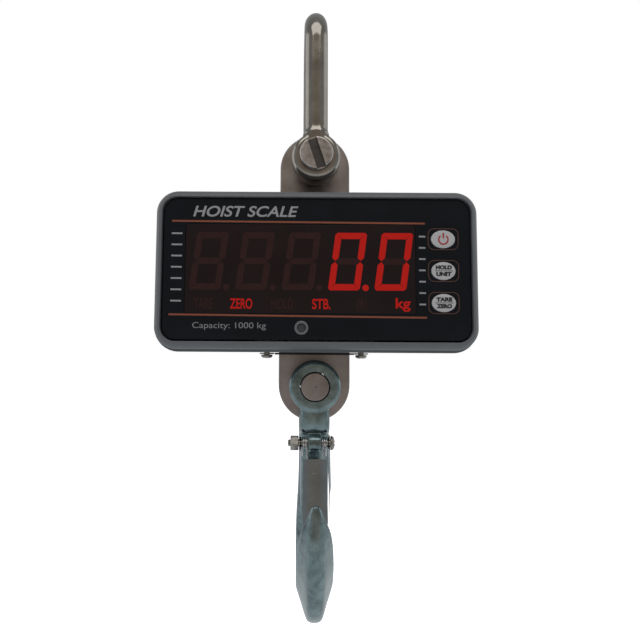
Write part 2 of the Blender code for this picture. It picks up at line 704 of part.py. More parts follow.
def boards():
    y = BOARD_Y + BOARD_T / 2
    box("display_board", (BOARD_W, BOARD_T, BOARD_H), (0, y, BOARD_Z), CIRCUIT)
    board = box("main_board", (MAIN_W, BOARD_T, MAIN_H), (0, MAIN_Y + BOARD_T / 2, BOARD_Z), CIRCUIT)
    header_t = MAIN_GAP - CLEAR + HEADER_SINK
    header_y = MAIN_Y + HEADER_SINK - header_t / 2
    header = (HEADER_W, header_t, HEADER_H)
    join(board, box("board_header", header, (0, header_y, BOARD_Z - HEADER_DOWN)))
    for sx in (-1, 1):
        for sz in (-1, 1):
            x = sx * (BOARD_W / 2 - STANDOFF_IN)
            z = BOARD_Z + sz * (BOARD_H / 2 - STANDOFF_IN)
            name = "standoff_" + ("left" if sx < 0 else "right") + ("_lower" if sz < 0 else "_upper")
            rod(name, STANDOFF_R, FLOOR_BACK_Y + CLEAR, BOARD_Y - CLEAR, (x, 0, z), "Y", BRASS, 6)
    for name, z in key_places():
        back = PANEL_Y - KEY_PROUD + KEY_T
        tip = back + KEY_TRAVEL + CLEAR
        body = tip + SWITCH_CAP
        switch = box("switch_" + name, (SWITCH, BOARD_Y - CLEAR - body, SWITCH),
                     (KEY_X, (BOARD_Y - CLEAR + body) / 2, z), PLASTIC)
        join(switch, rod("plunger_" + name, 1.7, tip, body + 1, (KEY_X, 0, z), "Y", None, 16))
    front = PANEL_Y - 0.3 + 3.2 + CLEAR
    rod("ir_receiver", 2.4, front, BOARD_Y - CLEAR, (IR_X, 0, IR_Z), "Y", LENS, 16, 0.6)
    near = MAIN_Y + BOARD_T + CLEAR
    rod("buzzer", BUZZER_R, near, near + BUZZER_T, (42, 0, BOARD_Z + 12), "Y", PLASTIC, 20, 0.5)


def battery():
    y = DOOR_Y - CLEAR - BATTERY_PAD - BATTERY_T / 2
    pack = box("battery_pack", (BATTERY_W - 6, BATTERY_T, BATTERY_H), (BATTERY_X, y, CASE_Z), BATTERY)
    bevel(pack, 1.5, 2)
    size = (DOOR_W - 2 * CLEAR, DOOR_T, DOOR_H - 2 * CLEAR)
    door = box("battery_door", size, (BATTERY_X, DOOR_Y + DOOR_T / 2, CASE_Z), CASE)
    back = CASE_BACK_Y
    for name, side in SIDES:
        x = BATTERY_X + side * (DOOR_W - DOOR_LEDGE) / 2
        r = DOOR_SCREW_R
        head = 2 * r + 0.1
        place = (x, 0, CASE_Z)
        hole = rod("door_hole_" + name, r + HOLE_CLEAR, back - 4, back + 1, place, "Y", None, 14)
        sink = rod("door_sink_" + name, head + CLEAR, back - 1.4, back + 1, place, "Y", None, 18)
        cut(door, hole, sink)
        top = back - TAP_CLEAR
        end = top - DOOR_SCREW_LEN
        profile = [(0, end), (r, end), (r, back - 1.1), (head, back - 1.1), (head, back - 0.4),
                   (head - 0.5, top), (0, top)]
        turned("door_screw_" + name, profile, (x, 0, CASE_Z), "Y", ZINC, 14)


def charge_port():
    r = SOCKET_D / 2
    back = CASE_BACK_Y
    flange = BACK_IN_Y - CLEAR
    profile = [(0, back - 14), (r - 1, back - 14), (r - 1, flange - 1.8), (r + 2, flange - 1.8),
               (r + 2, flange), (r, flange), (r, back - 1.0), (0, back - 1.0)]
    turned("charge_socket", profile, (SOCKET_X, 0, SOCKET_Z), "Y", PLASTIC, 20)
    rod("charge_plug", r - 0.2, back - 0.7, back - 0.1, (SOCKET_X, 0, SOCKET_Z), "Y", RUBBER, 20)


def case_screws():
    back = CASE_BACK_Y
    r = SCREW_D / 2
    for i, (x, z) in enumerate(post_places()):
        seat = back - SINK_DEEP + CLEAR
        end = POST_END_Y - 6.5
        head = SINK_R - 0.5
        profile = [(0, end), (r, end), (r, seat), (head, seat), (head, seat + 1.4),
                   (head - 0.7, seat + 2.2), (0, seat + 2.4)]
        turned(f"case_screw_{i + 1}", profile, (x, 0, z), "Y", ZINC, 14)


def inner_cables():
    """Two short leads inside the casing, each clear of the boards that it joins."""
    back = MAIN_Y + BOARD_T + CLEAR + 1.0
    cell = -PLATE_T / 2 - 1.5
    route = [(3, cell, CASE_Z), (9, cell - 1.0, CASE_Z - 1), (14, back + 1.6, CASE_Z + 1),
             (20, back + 0.1, CASE_Z + 4)]
    wire("gauge_cable", smooth(route, 10), 0.9, RUBBER)
    front = DOOR_Y - CLEAR - BATTERY_PAD - BATTERY_T - CLEAR - 1.0
    route = [(BATTERY_X + 6, front, CASE_Z - 8), (BATTERY_X + 8, (front + back) / 2, CASE_Z - 5),
             (BATTERY_X + 12, back, CASE_Z)]
    wire("battery_cable", smooth(route, 8), 0.8, RUBBER)


# ---------------------------------------------------------------- hook
# Each station of the hook's arm is its throat-side point, its outer point and the two
# half widths there, with y and the drop below the clevis floor.
HOOK_STATIONS = (
    ((-EAR_Y, 14.4), (EAR_Y, 14.4), 8.4, 8.4),
    ((-EAR_Y, -0.2), (EAR_Y, -0.6), 8.4, 8.4),
    ((NECK_Y, -5.0), (16.6, -7.1), 8.4, 8.2),
    ((NECK_Y + 0.4, -10.6), (15.8, -14.1), 8.4, 7.8),
    ((-5.6, -18.6), (17.2, -21.6), 8.4, 7.2),
    ((-1.6, -27.6), (21.0, -30.1), 8.6, 6.2),
    ((4.6, -37.1), (26.6, -39.1), 8.9, 5.2),
    ((11.6, -46.6), (32.4, -49.1), 9.3, 4.4),
    ((17.2, -55.6), (36.6, -58.6), 9.7, 3.8),
    ((19.3, -65.8), (38.6, -70.2), 9.9, 3.6),
)
BOWL_DROP = 63.7       # clevis floor to the middle of the bowl
BOWL_IN = 19.3
BOWL_DEEP = 22.8
TIP_STATIONS = (
    ((-20.6, -65.6), (-38.4, -71.2), 9.8, 3.6),
    ((-24.2, -56.6), (-39.6, -60.1), 9.2, 3.4),
    ((-29.8, -49.1), (-39.6, -51.1), 7.9, 3.2),
    ((-32.4, -43.4), (-38.8, -44.2), 5.8, 3.0),
    ((-33.6, -38.6), (-37.8, -38.7), 3.8, 2.6),
    ((-34.2, -35.0), (-36.4, -34.9), 2.0, 1.5),
)


def hook_section(inner, outer, wide, narrow):
    """One ring of the arm: wide and rounded on the throat side, narrow outside."""
    across = ((0.0, 0.55), (0.07, 0.9), (0.2, 1.0), (0.55, 1.0), (0.9, 1.0), (0.98, 0.75), (1.0, 0.3))
    half = []
    for along, share in across:
        y = inner[0] + (outer[0] - inner[0]) * along
        z = inner[1] + (outer[1] - inner[1]) * along
        width = wide + (narrow - wide) * max(0.0, along - 0.2) / 0.8
        half.append((width * share, y, LOWER_PIN_Z - CROTCH + z))
    return half + [(-x, y, z) for x, y, z in reversed(half)]


def bowl_stations():
    out = []
    for angle in (22, 42, 60, 76, 90, 104, 120, 138, 158):
        a = math.radians(angle)
        inner = (BOWL_IN * math.cos(a), -BOWL_DROP - BOWL_IN * math.sin(a))
        reach = BOWL_IN + BOWL_DEEP - 3.6 * abs(math.cos(a))
        outer = (reach * math.cos(a), -BOWL_DROP - reach * math.sin(a))
        out.append((inner, outer, 9.9, 3.6))
    return out


def hook_body():
    """A forged clevis hook: two ears, a neck, a latch boss and a bowl of tapered section."""
    stations = [*HOOK_STATIONS, *bowl_stations(), *TIP_STATIONS]
    hook = loft("hook_body", [hook_section(*s) for s in stations], HOOK)
    half = CLEVIS_W / 2
    r = HOOK_EAR_D / 2
    head = rod("hook_ears", r, -half, half, (0, 0, LOWER_PIN_Z), "Y", None, 32, 1.6)
    boss = rod("hook_boss", BOSS_R, -BOSS_W / 2, BOSS_W / 2, (0, BOLT_Y, BOLT_Z), "X", None, 20)
    web = box("boss_web", (BOSS_W, 10, 2 * BOSS_R - 0.6), (0, BOLT_Y + 5, BOLT_Z))
    join(hook, head, boss, web)
    slot_low = LOWER_PIN_Z - CROTCH
    slot_top = LOWER_PIN_Z + HOOK_EAR_D
    slot = (3 * HOOK_EAR_D, CLEVIS_GAP, slot_top - slot_low)
    gap = box("clevis_slot", slot, (0, 0, (slot_top + slot_low) / 2))
    bevel(gap, 1.6, 2)
    ends = (-REACH, REACH)
    bore = rod("hook_bore", HOOK_PIN_D / 2 + PIN_CLEAR, *ends, (0, 0, LOWER_PIN_Z), "Y", None, 28)
    place = (0, ROLL_PIN_Y, LOWER_PIN_Z)
    roll = rod("roll_bore", ROLL_PIN_D / 2 + TAP_CLEAR, *ends, place, "X", None, 14)
    bolt = rod("latch_bore", BOLT_D / 2 + 0.2, *ends, (0, BOLT_Y, BOLT_Z), "X", None, 16)
    cut(hook, gap, bore, roll, bolt)
    set_origin(hook, (0, 0, LOWER_PIN_Z))
    return hook


def hook_pins():
    half = CLEVIS_W / 2 + HOOK_PIN_PROUD
    pin = rod("hook_pin", HOOK_PIN_D / 2, -half, half, (0, 0, LOWER_PIN_Z), "Y", PLATE, 28, 0.8)
    r = ROLL_PIN_D / 2 + TAP_CLEAR
    cut(pin, rod("pin_cross_bore", r, -REACH, REACH, (0, ROLL_PIN_Y, LOWER_PIN_Z), "X", None, 14))
    reach = HOOK_EAR_D / 2 - 0.6
    rod("hook_roll_pin", ROLL_PIN_D / 2, -reach, reach, (0, ROLL_PIN_Y, LOWER_PIN_Z), "X", ZINC, 14, 0.3)


def latch_bolt():
    side = LATCH_W / 2 + CLEAR
    r = BOLT_D / 2
    end = -(side + NUT_T + 1.4)
    top = side + HEAD_T
    head = HEAD_D / 2
    dome = [(0, top), (1.6, top), (3.0, top - 0.5), (head, top - 1.4), (head, side), (r, side),
            (r, end + 0.5), (r - 0.5, end), (0, end)]
    bolt = turned("latch_bolt", dome, (0, BOLT_Y, BOLT_Z), "X", ZINC, 20)
    cut(bolt, box("bolt_slot", (2.0, HEAD_D + 2, 1.0), (top, BOLT_Y, BOLT_Z)))
    corner = NUT_AF / 2 / math.cos(math.radians(30))
    hexagon = circle(corner, BOLT_Y, BOLT_Z, 6)
    hole = circle(r + 0.12, BOLT_Y, BOLT_Z, 20)
    slab("latch_nut", [hexagon, hole], -side - NUT_T, -side, ZINC, "X")


def latch_place(s, n):
    """A point in the latch's own frame: s down its length, n out towards its face."""
    a = math.radians(LATCH_LEAN)
    y = BOLT_Y - s * math.sin(a) - n * math.cos(a)
    z = BOLT_Z - s * math.cos(a) + n * math.sin(a)
    return y, z


def safety_latch():
    """A folded sheet channel: two cheeks on the bolt and a web across the throat."""
    face = LATCH_WEB
    back = face - LATCH_T
    outline = [(LATCH_LEN - 1.5, face), (LATCH_LEN - 1.5, back - 0.6), (26.0, back - 1.2), (12.0, -2.6)]
    outline += arc(0, 0, CHEEK_R, -65, -235, 12)
    outline += [(LATCH_TOP - 1.0, face - 1.0), (LATCH_TOP, face)]
    cheek = [latch_place(s, n) for s, n in outline]
    hole = [latch_place(s, n) for s, n in circle(BOLT_D / 2 + 0.2, 0, 0, 18)]
    half = LATCH_W / 2
    latch = slab("safety_latch", [cheek, hole], half - LATCH_T, half, SHEET, "X")
    other = slab("latch_cheek", [cheek, hole], -half, LATCH_T - half, None, "X")
    low = -LATCH_LEN
    corner = 3.0
    web_line = [(half - 0.05, -LATCH_TOP), (-half + 0.05, -LATCH_TOP)]
    web_line += arc(-half + 0.05 + corner, low + corner, corner, 180, 270, 5)
    web_line += arc(half - 0.05 - corner, low + corner, corner, 270, 360, 5)
    web = slab("latch_web", [web_line], -face + 0.04, -back)
    web.data.transform(Matrix.Rotation(math.radians(-LATCH_LEAN), 4, "X"))
    web.location = Vector((0, BOLT_Y, BOLT_Z)) * MM
    join(latch, other, web)
    set_origin(latch, (0, BOLT_Y, BOLT_Z))
    return latch


def latch_spring():
    """A double torsion spring: leg, coil, bridge behind the web, coil, leg."""
    steps = 12
    start = BOSS_W / 2 + CLEAR + WIRE_D / 2
    pitch = WIRE_D + COIL_GAP
    room = LATCH_W / 2 - LATCH_T - CLEAR - WIRE_D / 2 - start
    turns = int(room / pitch - 0.5) + 0.5
    count = int(turns * steps)
    points = []
    for i in range(count + 1):
        a = math.radians(90 + 360 * (count - i) / steps)
        y, z = latch_place(COIL_R * math.cos(a), COIL_R * math.sin(a))
        points.append((start + pitch * (count - i) / steps, y, z))
    foot_y, foot_z = latch_place(6.0, -8.0)
    leg = [(start + pitch * count / steps, foot_y, foot_z)]
    reach_y, reach_z = latch_place(LATCH_TOP + 5.0, LATCH_WEB - LATCH_T - 0.3 - WIRE_D / 2)
    bridge = [(start, reach_y, reach_z)]
    half = leg + points + bridge
    mirrored = [(-x, y, z) for x, y, z in reversed(half)]
    wire("latch_spring", half + mirrored, WIRE_D / 2, SPRING, 1)


# ---------------------------------------------------------------- build
clear_scene()
PARTS = new_collection("crane_scale")
CUTTERS = new_collection("cutters")
STEEL = material("polished_steel", (0.55, 0.53, 0.51), 0.22, 1.0)
PIN_STEEL = material("pin_steel", (0.48, 0.45, 0.43), 0.3, 1.0)
PLATE = material("plate_steel", (0.33, 0.29, 0.27), 0.42, 1.0)
ALUMINIUM = material("clamp_aluminium", (0.6, 0.6, 0.6), 0.4, 1.0)
CASE = material("grey_casting", (0.14, 0.145, 0.15), 0.55)
OVERLAY = material("black_overlay", (0.012, 0.013, 0.015), 0.35)
TINT = material("red_filter", (0.03, 0.008, 0.009), 0.2)
KEY = material("key_grey", (0.42, 0.42, 0.43), 0.5)
LENS = material("smoked_lens", (0.08, 0.08, 0.085), 0.25)
DIGIT = material("digit_black", (0.02, 0.012, 0.012), 0.5)
CIRCUIT = material("circuit_board", (0.02, 0.1, 0.04), 0.5)
PLASTIC = material("black_plastic", (0.02, 0.02, 0.02), 0.5)
BATTERY = material("battery_wrap", (0.05, 0.09, 0.2), 0.5)
RUBBER = material("black_rubber", (0.015, 0.015, 0.015), 0.8)
COMPOUND = material("sealing_compound", (0.5, 0.48, 0.42), 0.6)
BRASS = material("brass", (0.55, 0.4, 0.15), 0.35, 1.0)
ZINC = material("zinc_fastener", (0.45, 0.46, 0.47), 0.35, 1.0)
HOOK = material("zinc_forging", (0.27, 0.31, 0.32), 0.38, 1.0)
SHEET = material("zinc_sheet", (0.3, 0.34, 0.36), 0.33, 1.0)
SPRING = material("spring_wire", (0.5, 0.5, 0.5), 0.3, 1.0)

shackle_bow()
shackle_pin()
load_cell()
gauge_covers()
clamps()
seals()
rear_cover()
casing_gasket()
front_frame()
overlay_panel()
display_window()
keys()
ir_window()
display_modules()
boards()
battery()
charge_port()
case_screws()
inner_cables()
hook_body()
hook_pins()
latch_bolt()
safety_latch()
latch_spring()
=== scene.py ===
"""Hanging crane scale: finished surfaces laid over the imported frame.

Lengths are millimetres, which mesh_of() turns into metres; the camera, the lights and the
floor are placed in metres.  The display faces -Y, up is +Z, and the origin is the crown's
inside.
"""

import math

import bmesh
import bpy
import numpy as np
from mathutils import Matrix, Vector


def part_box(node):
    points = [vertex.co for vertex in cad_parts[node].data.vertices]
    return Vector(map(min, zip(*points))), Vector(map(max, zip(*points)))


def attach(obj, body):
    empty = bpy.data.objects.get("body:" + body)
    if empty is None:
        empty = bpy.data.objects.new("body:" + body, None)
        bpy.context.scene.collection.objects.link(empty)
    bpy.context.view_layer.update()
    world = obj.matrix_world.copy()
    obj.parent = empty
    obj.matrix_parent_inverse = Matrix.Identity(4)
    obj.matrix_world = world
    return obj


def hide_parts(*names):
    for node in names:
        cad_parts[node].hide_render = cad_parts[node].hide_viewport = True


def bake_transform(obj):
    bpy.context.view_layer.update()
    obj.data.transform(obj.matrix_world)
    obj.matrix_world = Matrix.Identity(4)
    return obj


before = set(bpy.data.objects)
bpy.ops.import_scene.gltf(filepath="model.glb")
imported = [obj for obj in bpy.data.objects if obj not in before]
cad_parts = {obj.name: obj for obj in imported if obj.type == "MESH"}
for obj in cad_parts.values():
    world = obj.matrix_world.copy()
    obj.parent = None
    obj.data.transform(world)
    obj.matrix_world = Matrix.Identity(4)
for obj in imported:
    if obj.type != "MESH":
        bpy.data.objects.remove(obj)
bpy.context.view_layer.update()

MM = 0.001
TAU = 2 * math.pi


# ---------------------------------------------------------------- sizes read from the frame
def extent(node):
    """The lowest and highest corner of a CAD node, in millimetres."""
    low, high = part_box(node)
    return np.array(low) / MM, np.array(high) / MM


BOW_LOW, BOW_HIGH = extent("shackle_bow")
PIN_LOW, PIN_HIGH = extent("shackle_pin")
PLATE_LOW, PLATE_HIGH = extent("load_cell")
CASE_LOW, CASE_HIGH = extent("rear_cover")
BEZEL_FRONT = extent("front_frame")[0][1]
PANEL_LOW, PANEL_HIGH = extent("overlay_panel")
WINDOW_LOW, WINDOW_HIGH = extent("display_window")
HOOK_LOW, HOOK_HIGH = extent("hook_body")
HOOK_PIN_LOW, HOOK_PIN_HIGH = extent("hook_pin")
ROLL_LOW, ROLL_HIGH = extent("hook_roll_pin")
BOLT_LOW, BOLT_HIGH = extent("latch_bolt")
NUT_LOW, NUT_HIGH = extent("latch_nut")
DOOR_LOW, DOOR_HIGH = extent("battery_door")
IR_LOW, IR_HIGH = extent("ir_window")

EAR_R = (BOW_HIGH[0] - BOW_LOW[0]) / 2
UPPER_Z = (PIN_LOW[2] + PIN_HIGH[2]) / 2
LOWER_Z = (HOOK_PIN_LOW[2] + HOOK_PIN_HIGH[2]) / 2
BAR_R = BOW_HIGH[2] / 2
LEG_Y = BOW_HIGH[1] - BAR_R
ARCH_Z = BAR_R - LEG_Y
PLATE_W, PLATE_T = (PLATE_HIGH - PLATE_LOW)[:2]
CASE_W = CASE_HIGH[0] - CASE_LOW[0]
CASE_H = CASE_HIGH[2] - CASE_LOW[2]
CASE_Z = (CASE_LOW[2] + CASE_HIGH[2]) / 2
CASE_R = 13.0
PANEL_Y = PANEL_LOW[1]
PANEL_IN = PANEL_LOW[0] - CASE_LOW[0]
BOLT_Y = (BOLT_LOW[1] + BOLT_HIGH[1]) / 2
BOLT_Z = (BOLT_LOW[2] + BOLT_HIGH[2]) / 2
ROLL_Y = (ROLL_LOW[1] + ROLL_HIGH[1]) / 2
HOOK_EAR_R = (HOOK_HIGH[0] - HOOK_LOW[0]) / 2
HOOK_PIN_R = (HOOK_PIN_HIGH[0] - HOOK_PIN_LOW[0]) / 2
PRINT_T = 0.05         # how far a printed mark stands proud
THROUGH = 40.0         # reach of a cutter that passes right through
SHARP = 0.001          # rim of a plate that is left square
SIDES = ("left", "right")


# ---------------------------------------------------------------- colour and material tools
def linear(hex_colour):
    """sRGB hex to a linear RGBA tuple."""
    code = hex_colour.lstrip("#")
    s = np.array([int(code[i:i + 2], 16) for i in (0, 2, 4)]) / 255
    rgb = np.where(s <= 0.04045, s / 12.92, ((s + 0.055) / 1.055) ** 2.4)
    return (*rgb.tolist(), 1.0)


def node(mat, kind, links=(), stops=(), **settings):
    """Adds one node with its links; a setting is a property or, failing that, an input's
    value, and stops are a ramp's (place, hex)."""
    made = mat.node_tree.nodes.new(kind)
    for key, value in settings.items():
        if hasattr(made, key):
            setattr(made, key, value)
        else:
            made.inputs[key.replace("_", " ")].default_value = value
    for element, (place, colour) in zip(made.color_ramp.elements if stops else (), stops):
        element.position = place
        element.color = linear(colour)
    for socket, source in links:
        mat.node_tree.links.new(source, made.inputs[socket])
    return made


def finish_of(name, dark, light, low, high, patch_mm, grain_mm, raised_mm, stretch=(1, 1, 1),
              metallic=0.0, strength=0.4, **sockets):
    """A real surface in three scales.  Colour runs dark to light and roughness low to high
    over patches patch_mm across; grains grain_mm across, drawn out by stretch, stand
    raised_mm high."""
    mat = bpy.data.materials.new(name)
    mat.use_nodes = True
    shader = mat.node_tree.nodes["Principled BSDF"]
    shader.inputs["Metallic"].default_value = metallic
    for socket, value in sockets.items():
        shader.inputs[socket.replace("_", " ")].default_value = value
    where = node(mat, "ShaderNodeTexCoord").outputs["Object"]
    patches = node(mat, "ShaderNodeTexNoise", [("Vector", where)], Scale=1 / (patch_mm * MM),
                   Detail=4.0, Roughness=0.6).outputs["Fac"]
    tone = node(mat, "ShaderNodeValToRGB", [("Fac", patches)], [(0.3, dark), (0.7, light)])
    dull = node(mat, "ShaderNodeMapRange", [("Value", patches)], From_Min=0.3, From_Max=0.7,
                To_Min=low, To_Max=high)
    per_metre = [s / (grain_mm * MM) for s in stretch]
    drawn = node(mat, "ShaderNodeMapping", [("Vector", where)], Scale=per_metre)
    grains = node(mat, "ShaderNodeTexNoise", [("Vector", drawn.outputs["Vector"])], Scale=1.0,
                  Detail=3.0)
    relief = node(mat, "ShaderNodeBump", [("Height", grains.outputs["Fac"])],
                  Distance=raised_mm * MM, Strength=strength)
    links = mat.node_tree.links
    links.new(tone.outputs["Color"], shader.inputs["Base Color"])
    links.new(dull.outputs["Result"], shader.inputs["Roughness"])
    links.new(relief.outputs["Normal"], shader.inputs["Normal"])
    return mat


# ---------------------------------------------------------------- materials
MATERIALS = {
    # Buffed stainless bar: near-mirror, with slightly duller patches left by handling.
    "stainless": finish_of("buffed_stainless_bar", "#827d77", "#979289", 0.1, 0.24, 12, 0.5, 0.01,
                           (1, 1, 0.08), 1.0, 0.25),
    # Lathe-turned pin head: satin face with small dents that catch the light.
    "pin": finish_of("turned_pin_steel", "#989390", "#bab6b3", 0.24, 0.42, 3, 0.9, 0.05, (1, 1, 1), 1.0),
    # Oil and dust packed into the slot: nearly black, dull.
    # Painted shade on the slot's floor: a nearly black, dull inlay that stands in for the shadow inside the
    # slot.
    "slot_shade": finish_of("painted_slot_floor_shade", "#35302d", "#4a443f", 0.5, 0.7, 2, 0.6, 0.05),
    # Alloy plate ground flat and oiled: satin warm grey with faint clouds and drag lines.
    "plate": finish_of("ground_alloy_plate", "#837b78", "#a19995", 0.34, 0.48, 16, 0.4, 0.015,
                       (0.08, 1, 1), 1.0),
    # Powder coat on a die casting: a fine even pebble that breaks up highlights.
    "case": finish_of("grey_powder_coat", "#5c5f63", "#666a6e", 0.44, 0.54, 30, 0.6, 0.08),
    # Polyester overlay printed black on its back: hazy sheen over a fine velvet texture.
    "film": finish_of("black_polyester_film", "#0a1017", "#0d131b", 0.34, 0.42, 14, 0.35, 0.02,
                      Specular_IOR_Level=0.18),
    # Red filter acrylic over dark modules: reads as a very deep maroon.
    "filter": finish_of("red_filter_acrylic", "#1c0f12", "#201315", 0.3, 0.38, 20, 4.0, 0.01,
                        Specular_IOR_Level=0.22),
    # Screen-printed inks: flat, a little uneven in cover.
    "grey_ink": finish_of("light_grey_ink", "#96979b", "#9fa0a4", 0.5, 0.62, 1, 0.3, 0.01),
    "dim_ink": finish_of("thin_grey_ink", "#818286", "#898a8e", 0.5, 0.62, 1, 0.3, 0.01),
    "orange_ink": finish_of("burnt_orange_ink", "#84452f", "#8e4c35", 0.5, 0.62, 1, 0.3, 0.01),
    "brown_ink": finish_of("brown_outline_ink", "#58372d", "#603d33", 0.5, 0.62, 1, 0.3, 0.01),
    "black_ink": finish_of("black_legend_ink", "#232428", "#292a2e", 0.5, 0.62, 1, 0.3, 0.01),
    "red_ink": finish_of("red_power_ink", "#a42f35", "#ac353b", 0.5, 0.62, 1, 0.3, 0.01),
    # Diffused LED segment, lit: an even glow behind tinted resin.
    "lit": finish_of("lit_red_segment", "#8c100a", "#94120b", 0.5, 0.6, 3, 0.5, 0.01,
                     Specular_IOR_Level=0.2, Emission_Color=linear("#c8140a"), Emission_Strength=0.34),
    # The same segment unlit: only just lighter than the filter round it.
    "unlit": finish_of("unlit_red_segment", "#2f1316", "#331518", 0.35, 0.42, 3, 0.5, 0.01,
                       Specular_IOR_Level=0.3),
    # Embossed key top: light grey film with a soft matt grain.
    "key": finish_of("grey_key_film", "#babbbe", "#c2c3c6", 0.46, 0.54, 5, 0.35, 0.02),
    # Moulded rubber: dull and faintly dusty.
    "rubber": finish_of("moulded_black_rubber", "#121314", "#212224", 0.7, 0.85, 1.2, 0.5, 0.05),
    # Blue-passivated zinc on a forging: cool and patchy, with soft pits from the die.
    "forging": finish_of("zinc_plated_forging", "#5c6a6c", "#889b9d", 0.16, 0.34, 6, 1.6, 0.16,
                         (1, 1, 1), 1.0, 0.5),
    # The same plating on pressed sheet: flatter and brighter.
    "sheet": finish_of("zinc_plated_sheet", "#7f868b", "#91999d", 0.12, 0.24, 9, 1.2, 0.05,
                       (1, 1, 1), 1.0),
    # Bright zinc on small fasteners: clean, slightly yellowed.
    "fastener": finish_of("bright_zinc_fastener", "#7d7b76", "#a5a39d", 0.2, 0.36, 1.5, 0.5, 0.03,
                          (1, 1, 1), 1.0),
    # Drawn spring wire: bright, with fine lines.
    "wire": finish_of("drawn_spring_wire", "#bdbdbc", "#cdcdcc", 0.18, 0.3, 1, 0.2, 0.01, (1, 1, 1), 1.0),
    # Smoked polycarbonate: dark and glossy.
    "lens": finish_of("smoked_polycarbonate", "#37393c", "#3e4043", 0.16, 0.26, 2, 1.0, 0.01),
    "ring": finish_of("grey_lens_surround", "#66686c", "#6e7074", 0.36, 0.46, 2, 0.5, 0.02),
    # Inside the casing: extruded aluminium, glass-epoxy board, turned brass, moulded
    # plastic, shrink wrap, cast epoxy.
    "aluminium": finish_of("milled_aluminium", "#a0a2a4", "#b4b6b8", 0.3, 0.42, 4, 0.5, 0.02, (0.1, 1, 1), 1.0),
    "board": finish_of("green_glass_epoxy", "#1c4a2c", "#245835", 0.32, 0.45, 2, 0.5, 0.02),
    "brass": finish_of("turned_brass", "#a3803c", "#c09a50", 0.25, 0.38, 2, 0.4, 0.02, (1, 1, 1), 1.0),
    "plastic": finish_of("moulded_black_abs", "#1d1e20", "#242528", 0.45, 0.56, 2, 0.4, 0.03),
    "wrap": finish_of("blue_shrink_wrap", "#27406f", "#304c80", 0.3, 0.42, 5, 2.0, 0.04),
    "epoxy": finish_of("cast_grey_epoxy", "#b5b0a2", "#c4bfb2", 0.5, 0.62, 3, 1.0, 0.03),
}
CARRIED = {
    "aluminium": ("cell_clamp_left", "cell_clamp_right"),
    "board": ("display_board", "main_board"),
    "brass": ("standoff_left_lower", "standoff_left_upper", "standoff_right_lower", "standoff_right_upper"),
    "plastic": ("switch_power", "switch_hold", "switch_tare", "buzzer", "charge_socket",
                "digit_1", "digit_2", "digit_3", "digit_4", "digit_5", "legend_bar"),
    "wrap": ("battery_pack",),
    "epoxy": ("gauge_cover_front", "gauge_cover_back"),
    "rubber": ("charge_plug", "gauge_cable", "battery_cable", "upper_seal", "lower_seal", "casing_gasket"),
    "lens": ("ir_receiver",),
    "fastener": ("clamp_screw_left", "clamp_screw_right", "underside_washer_left", "underside_washer_right"),
}
for coat, carried in CARRIED.items():
    for carried_node in carried:
        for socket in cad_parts[carried_node].material_slots:
            socket.material = MATERIALS[coat]


# ---------------------------------------------------------------- mesh tools
def mesh_of(name, points, faces):
    """A mesh from millimetre points: doubles merged and faces turned outwards."""
    mesh = bpy.data.meshes.new(name)
    mesh.from_pydata((np.asarray(points, float) * MM).tolist(), [], faces)
    bm = bmesh.new()
    bm.from_mesh(mesh)
    bmesh.ops.remove_doubles(bm, verts=bm.verts, dist=0.002 * MM)
    bmesh.ops.dissolve_degenerate(bm, edges=bm.edges, dist=0.001 * MM)
    bmesh.ops.recalc_face_normals(bm, faces=bm.faces)
    bm.to_mesh(mesh)
    bm.free()
    return mesh


def grid_faces(rows, cols, wrap_rows=False, wrap_cols=True):
    """The quads of a rows by cols grid, joined round either way where asked."""
    index = np.arange(rows * cols).reshape(rows, cols)
    if wrap_rows:
        index = np.vstack([index, index[:1]])
    if wrap_cols:
        index = np.hstack([index, index[:, :1]])
    quads = np.stack([index[:-1, :-1], index[:-1, 1:], index[1:, 1:], index[1:, :-1]], -1)
    return quads.reshape(-1, 4).tolist()


def tube_mesh(name, points, wrap_rows=False, caps=True):
    """A grid of rings, points[row, column], with its two end rings filled."""
    rows, cols = points.shape[:2]
    faces = grid_faces(rows, cols, wrap_rows)
    if caps and not wrap_rows:
        faces.append(list(range(cols)))
        faces.append(list(range((rows - 1) * cols, rows * cols)))
    return mesh_of(name, points.reshape(-1, 3), faces)


def show(mesh, name, body, mat, replaced=(), crease=32.0):
    """Makes a mesh a finished piece that rides on a body and stands for CAD nodes."""
    obj = bpy.data.objects.new(name, mesh)
    bpy.context.scene.collection.objects.link(obj)
    mesh.materials.clear()
    mesh.materials.append(MATERIALS[mat])
    mesh.shade_smooth()
    mesh.set_sharp_from_angle(angle=math.radians(crease))
    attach(obj, body)
    if replaced:
        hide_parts(*replaced)
    return obj


def turn_onto(points, axis, centre):
    """Points made about +Z, laid onto the X or Y axis (or left on Z) and moved to centre."""
    x, y, z = points[..., 0], points[..., 1], points[..., 2]
    laid = {"X": (z, x, y), "Y": (y, z, x), "Z": (x, y, z)}[axis]
    return np.stack(laid, -1) + np.asarray(centre, float)


def soften(profile, radius, steps=4):
    """Rounds a polyline's inner corners: each becomes a quadratic curve that starts and
    ends `radius` from the corner, or less where the neighbouring run is short."""
    profile = np.asarray(profile, float)
    out = [profile[0]]
    t = np.linspace(0, 1, steps + 1)[:, None]
    for before, corner, after in zip(profile, profile[1:], profile[2:]):
        back = before - corner
        ahead = after - corner
        reach_b = min(radius, 0.45 * np.linalg.norm(back))
        reach_a = min(radius, 0.45 * np.linalg.norm(ahead))
        start = corner + back / np.linalg.norm(back) * reach_b
        end = corner + ahead / np.linalg.norm(ahead) * reach_a
        out.extend((1 - t) ** 2 * start + 2 * t * (1 - t) * corner + t ** 2 * end)
    out.append(profile[-1])
    return np.array(out)


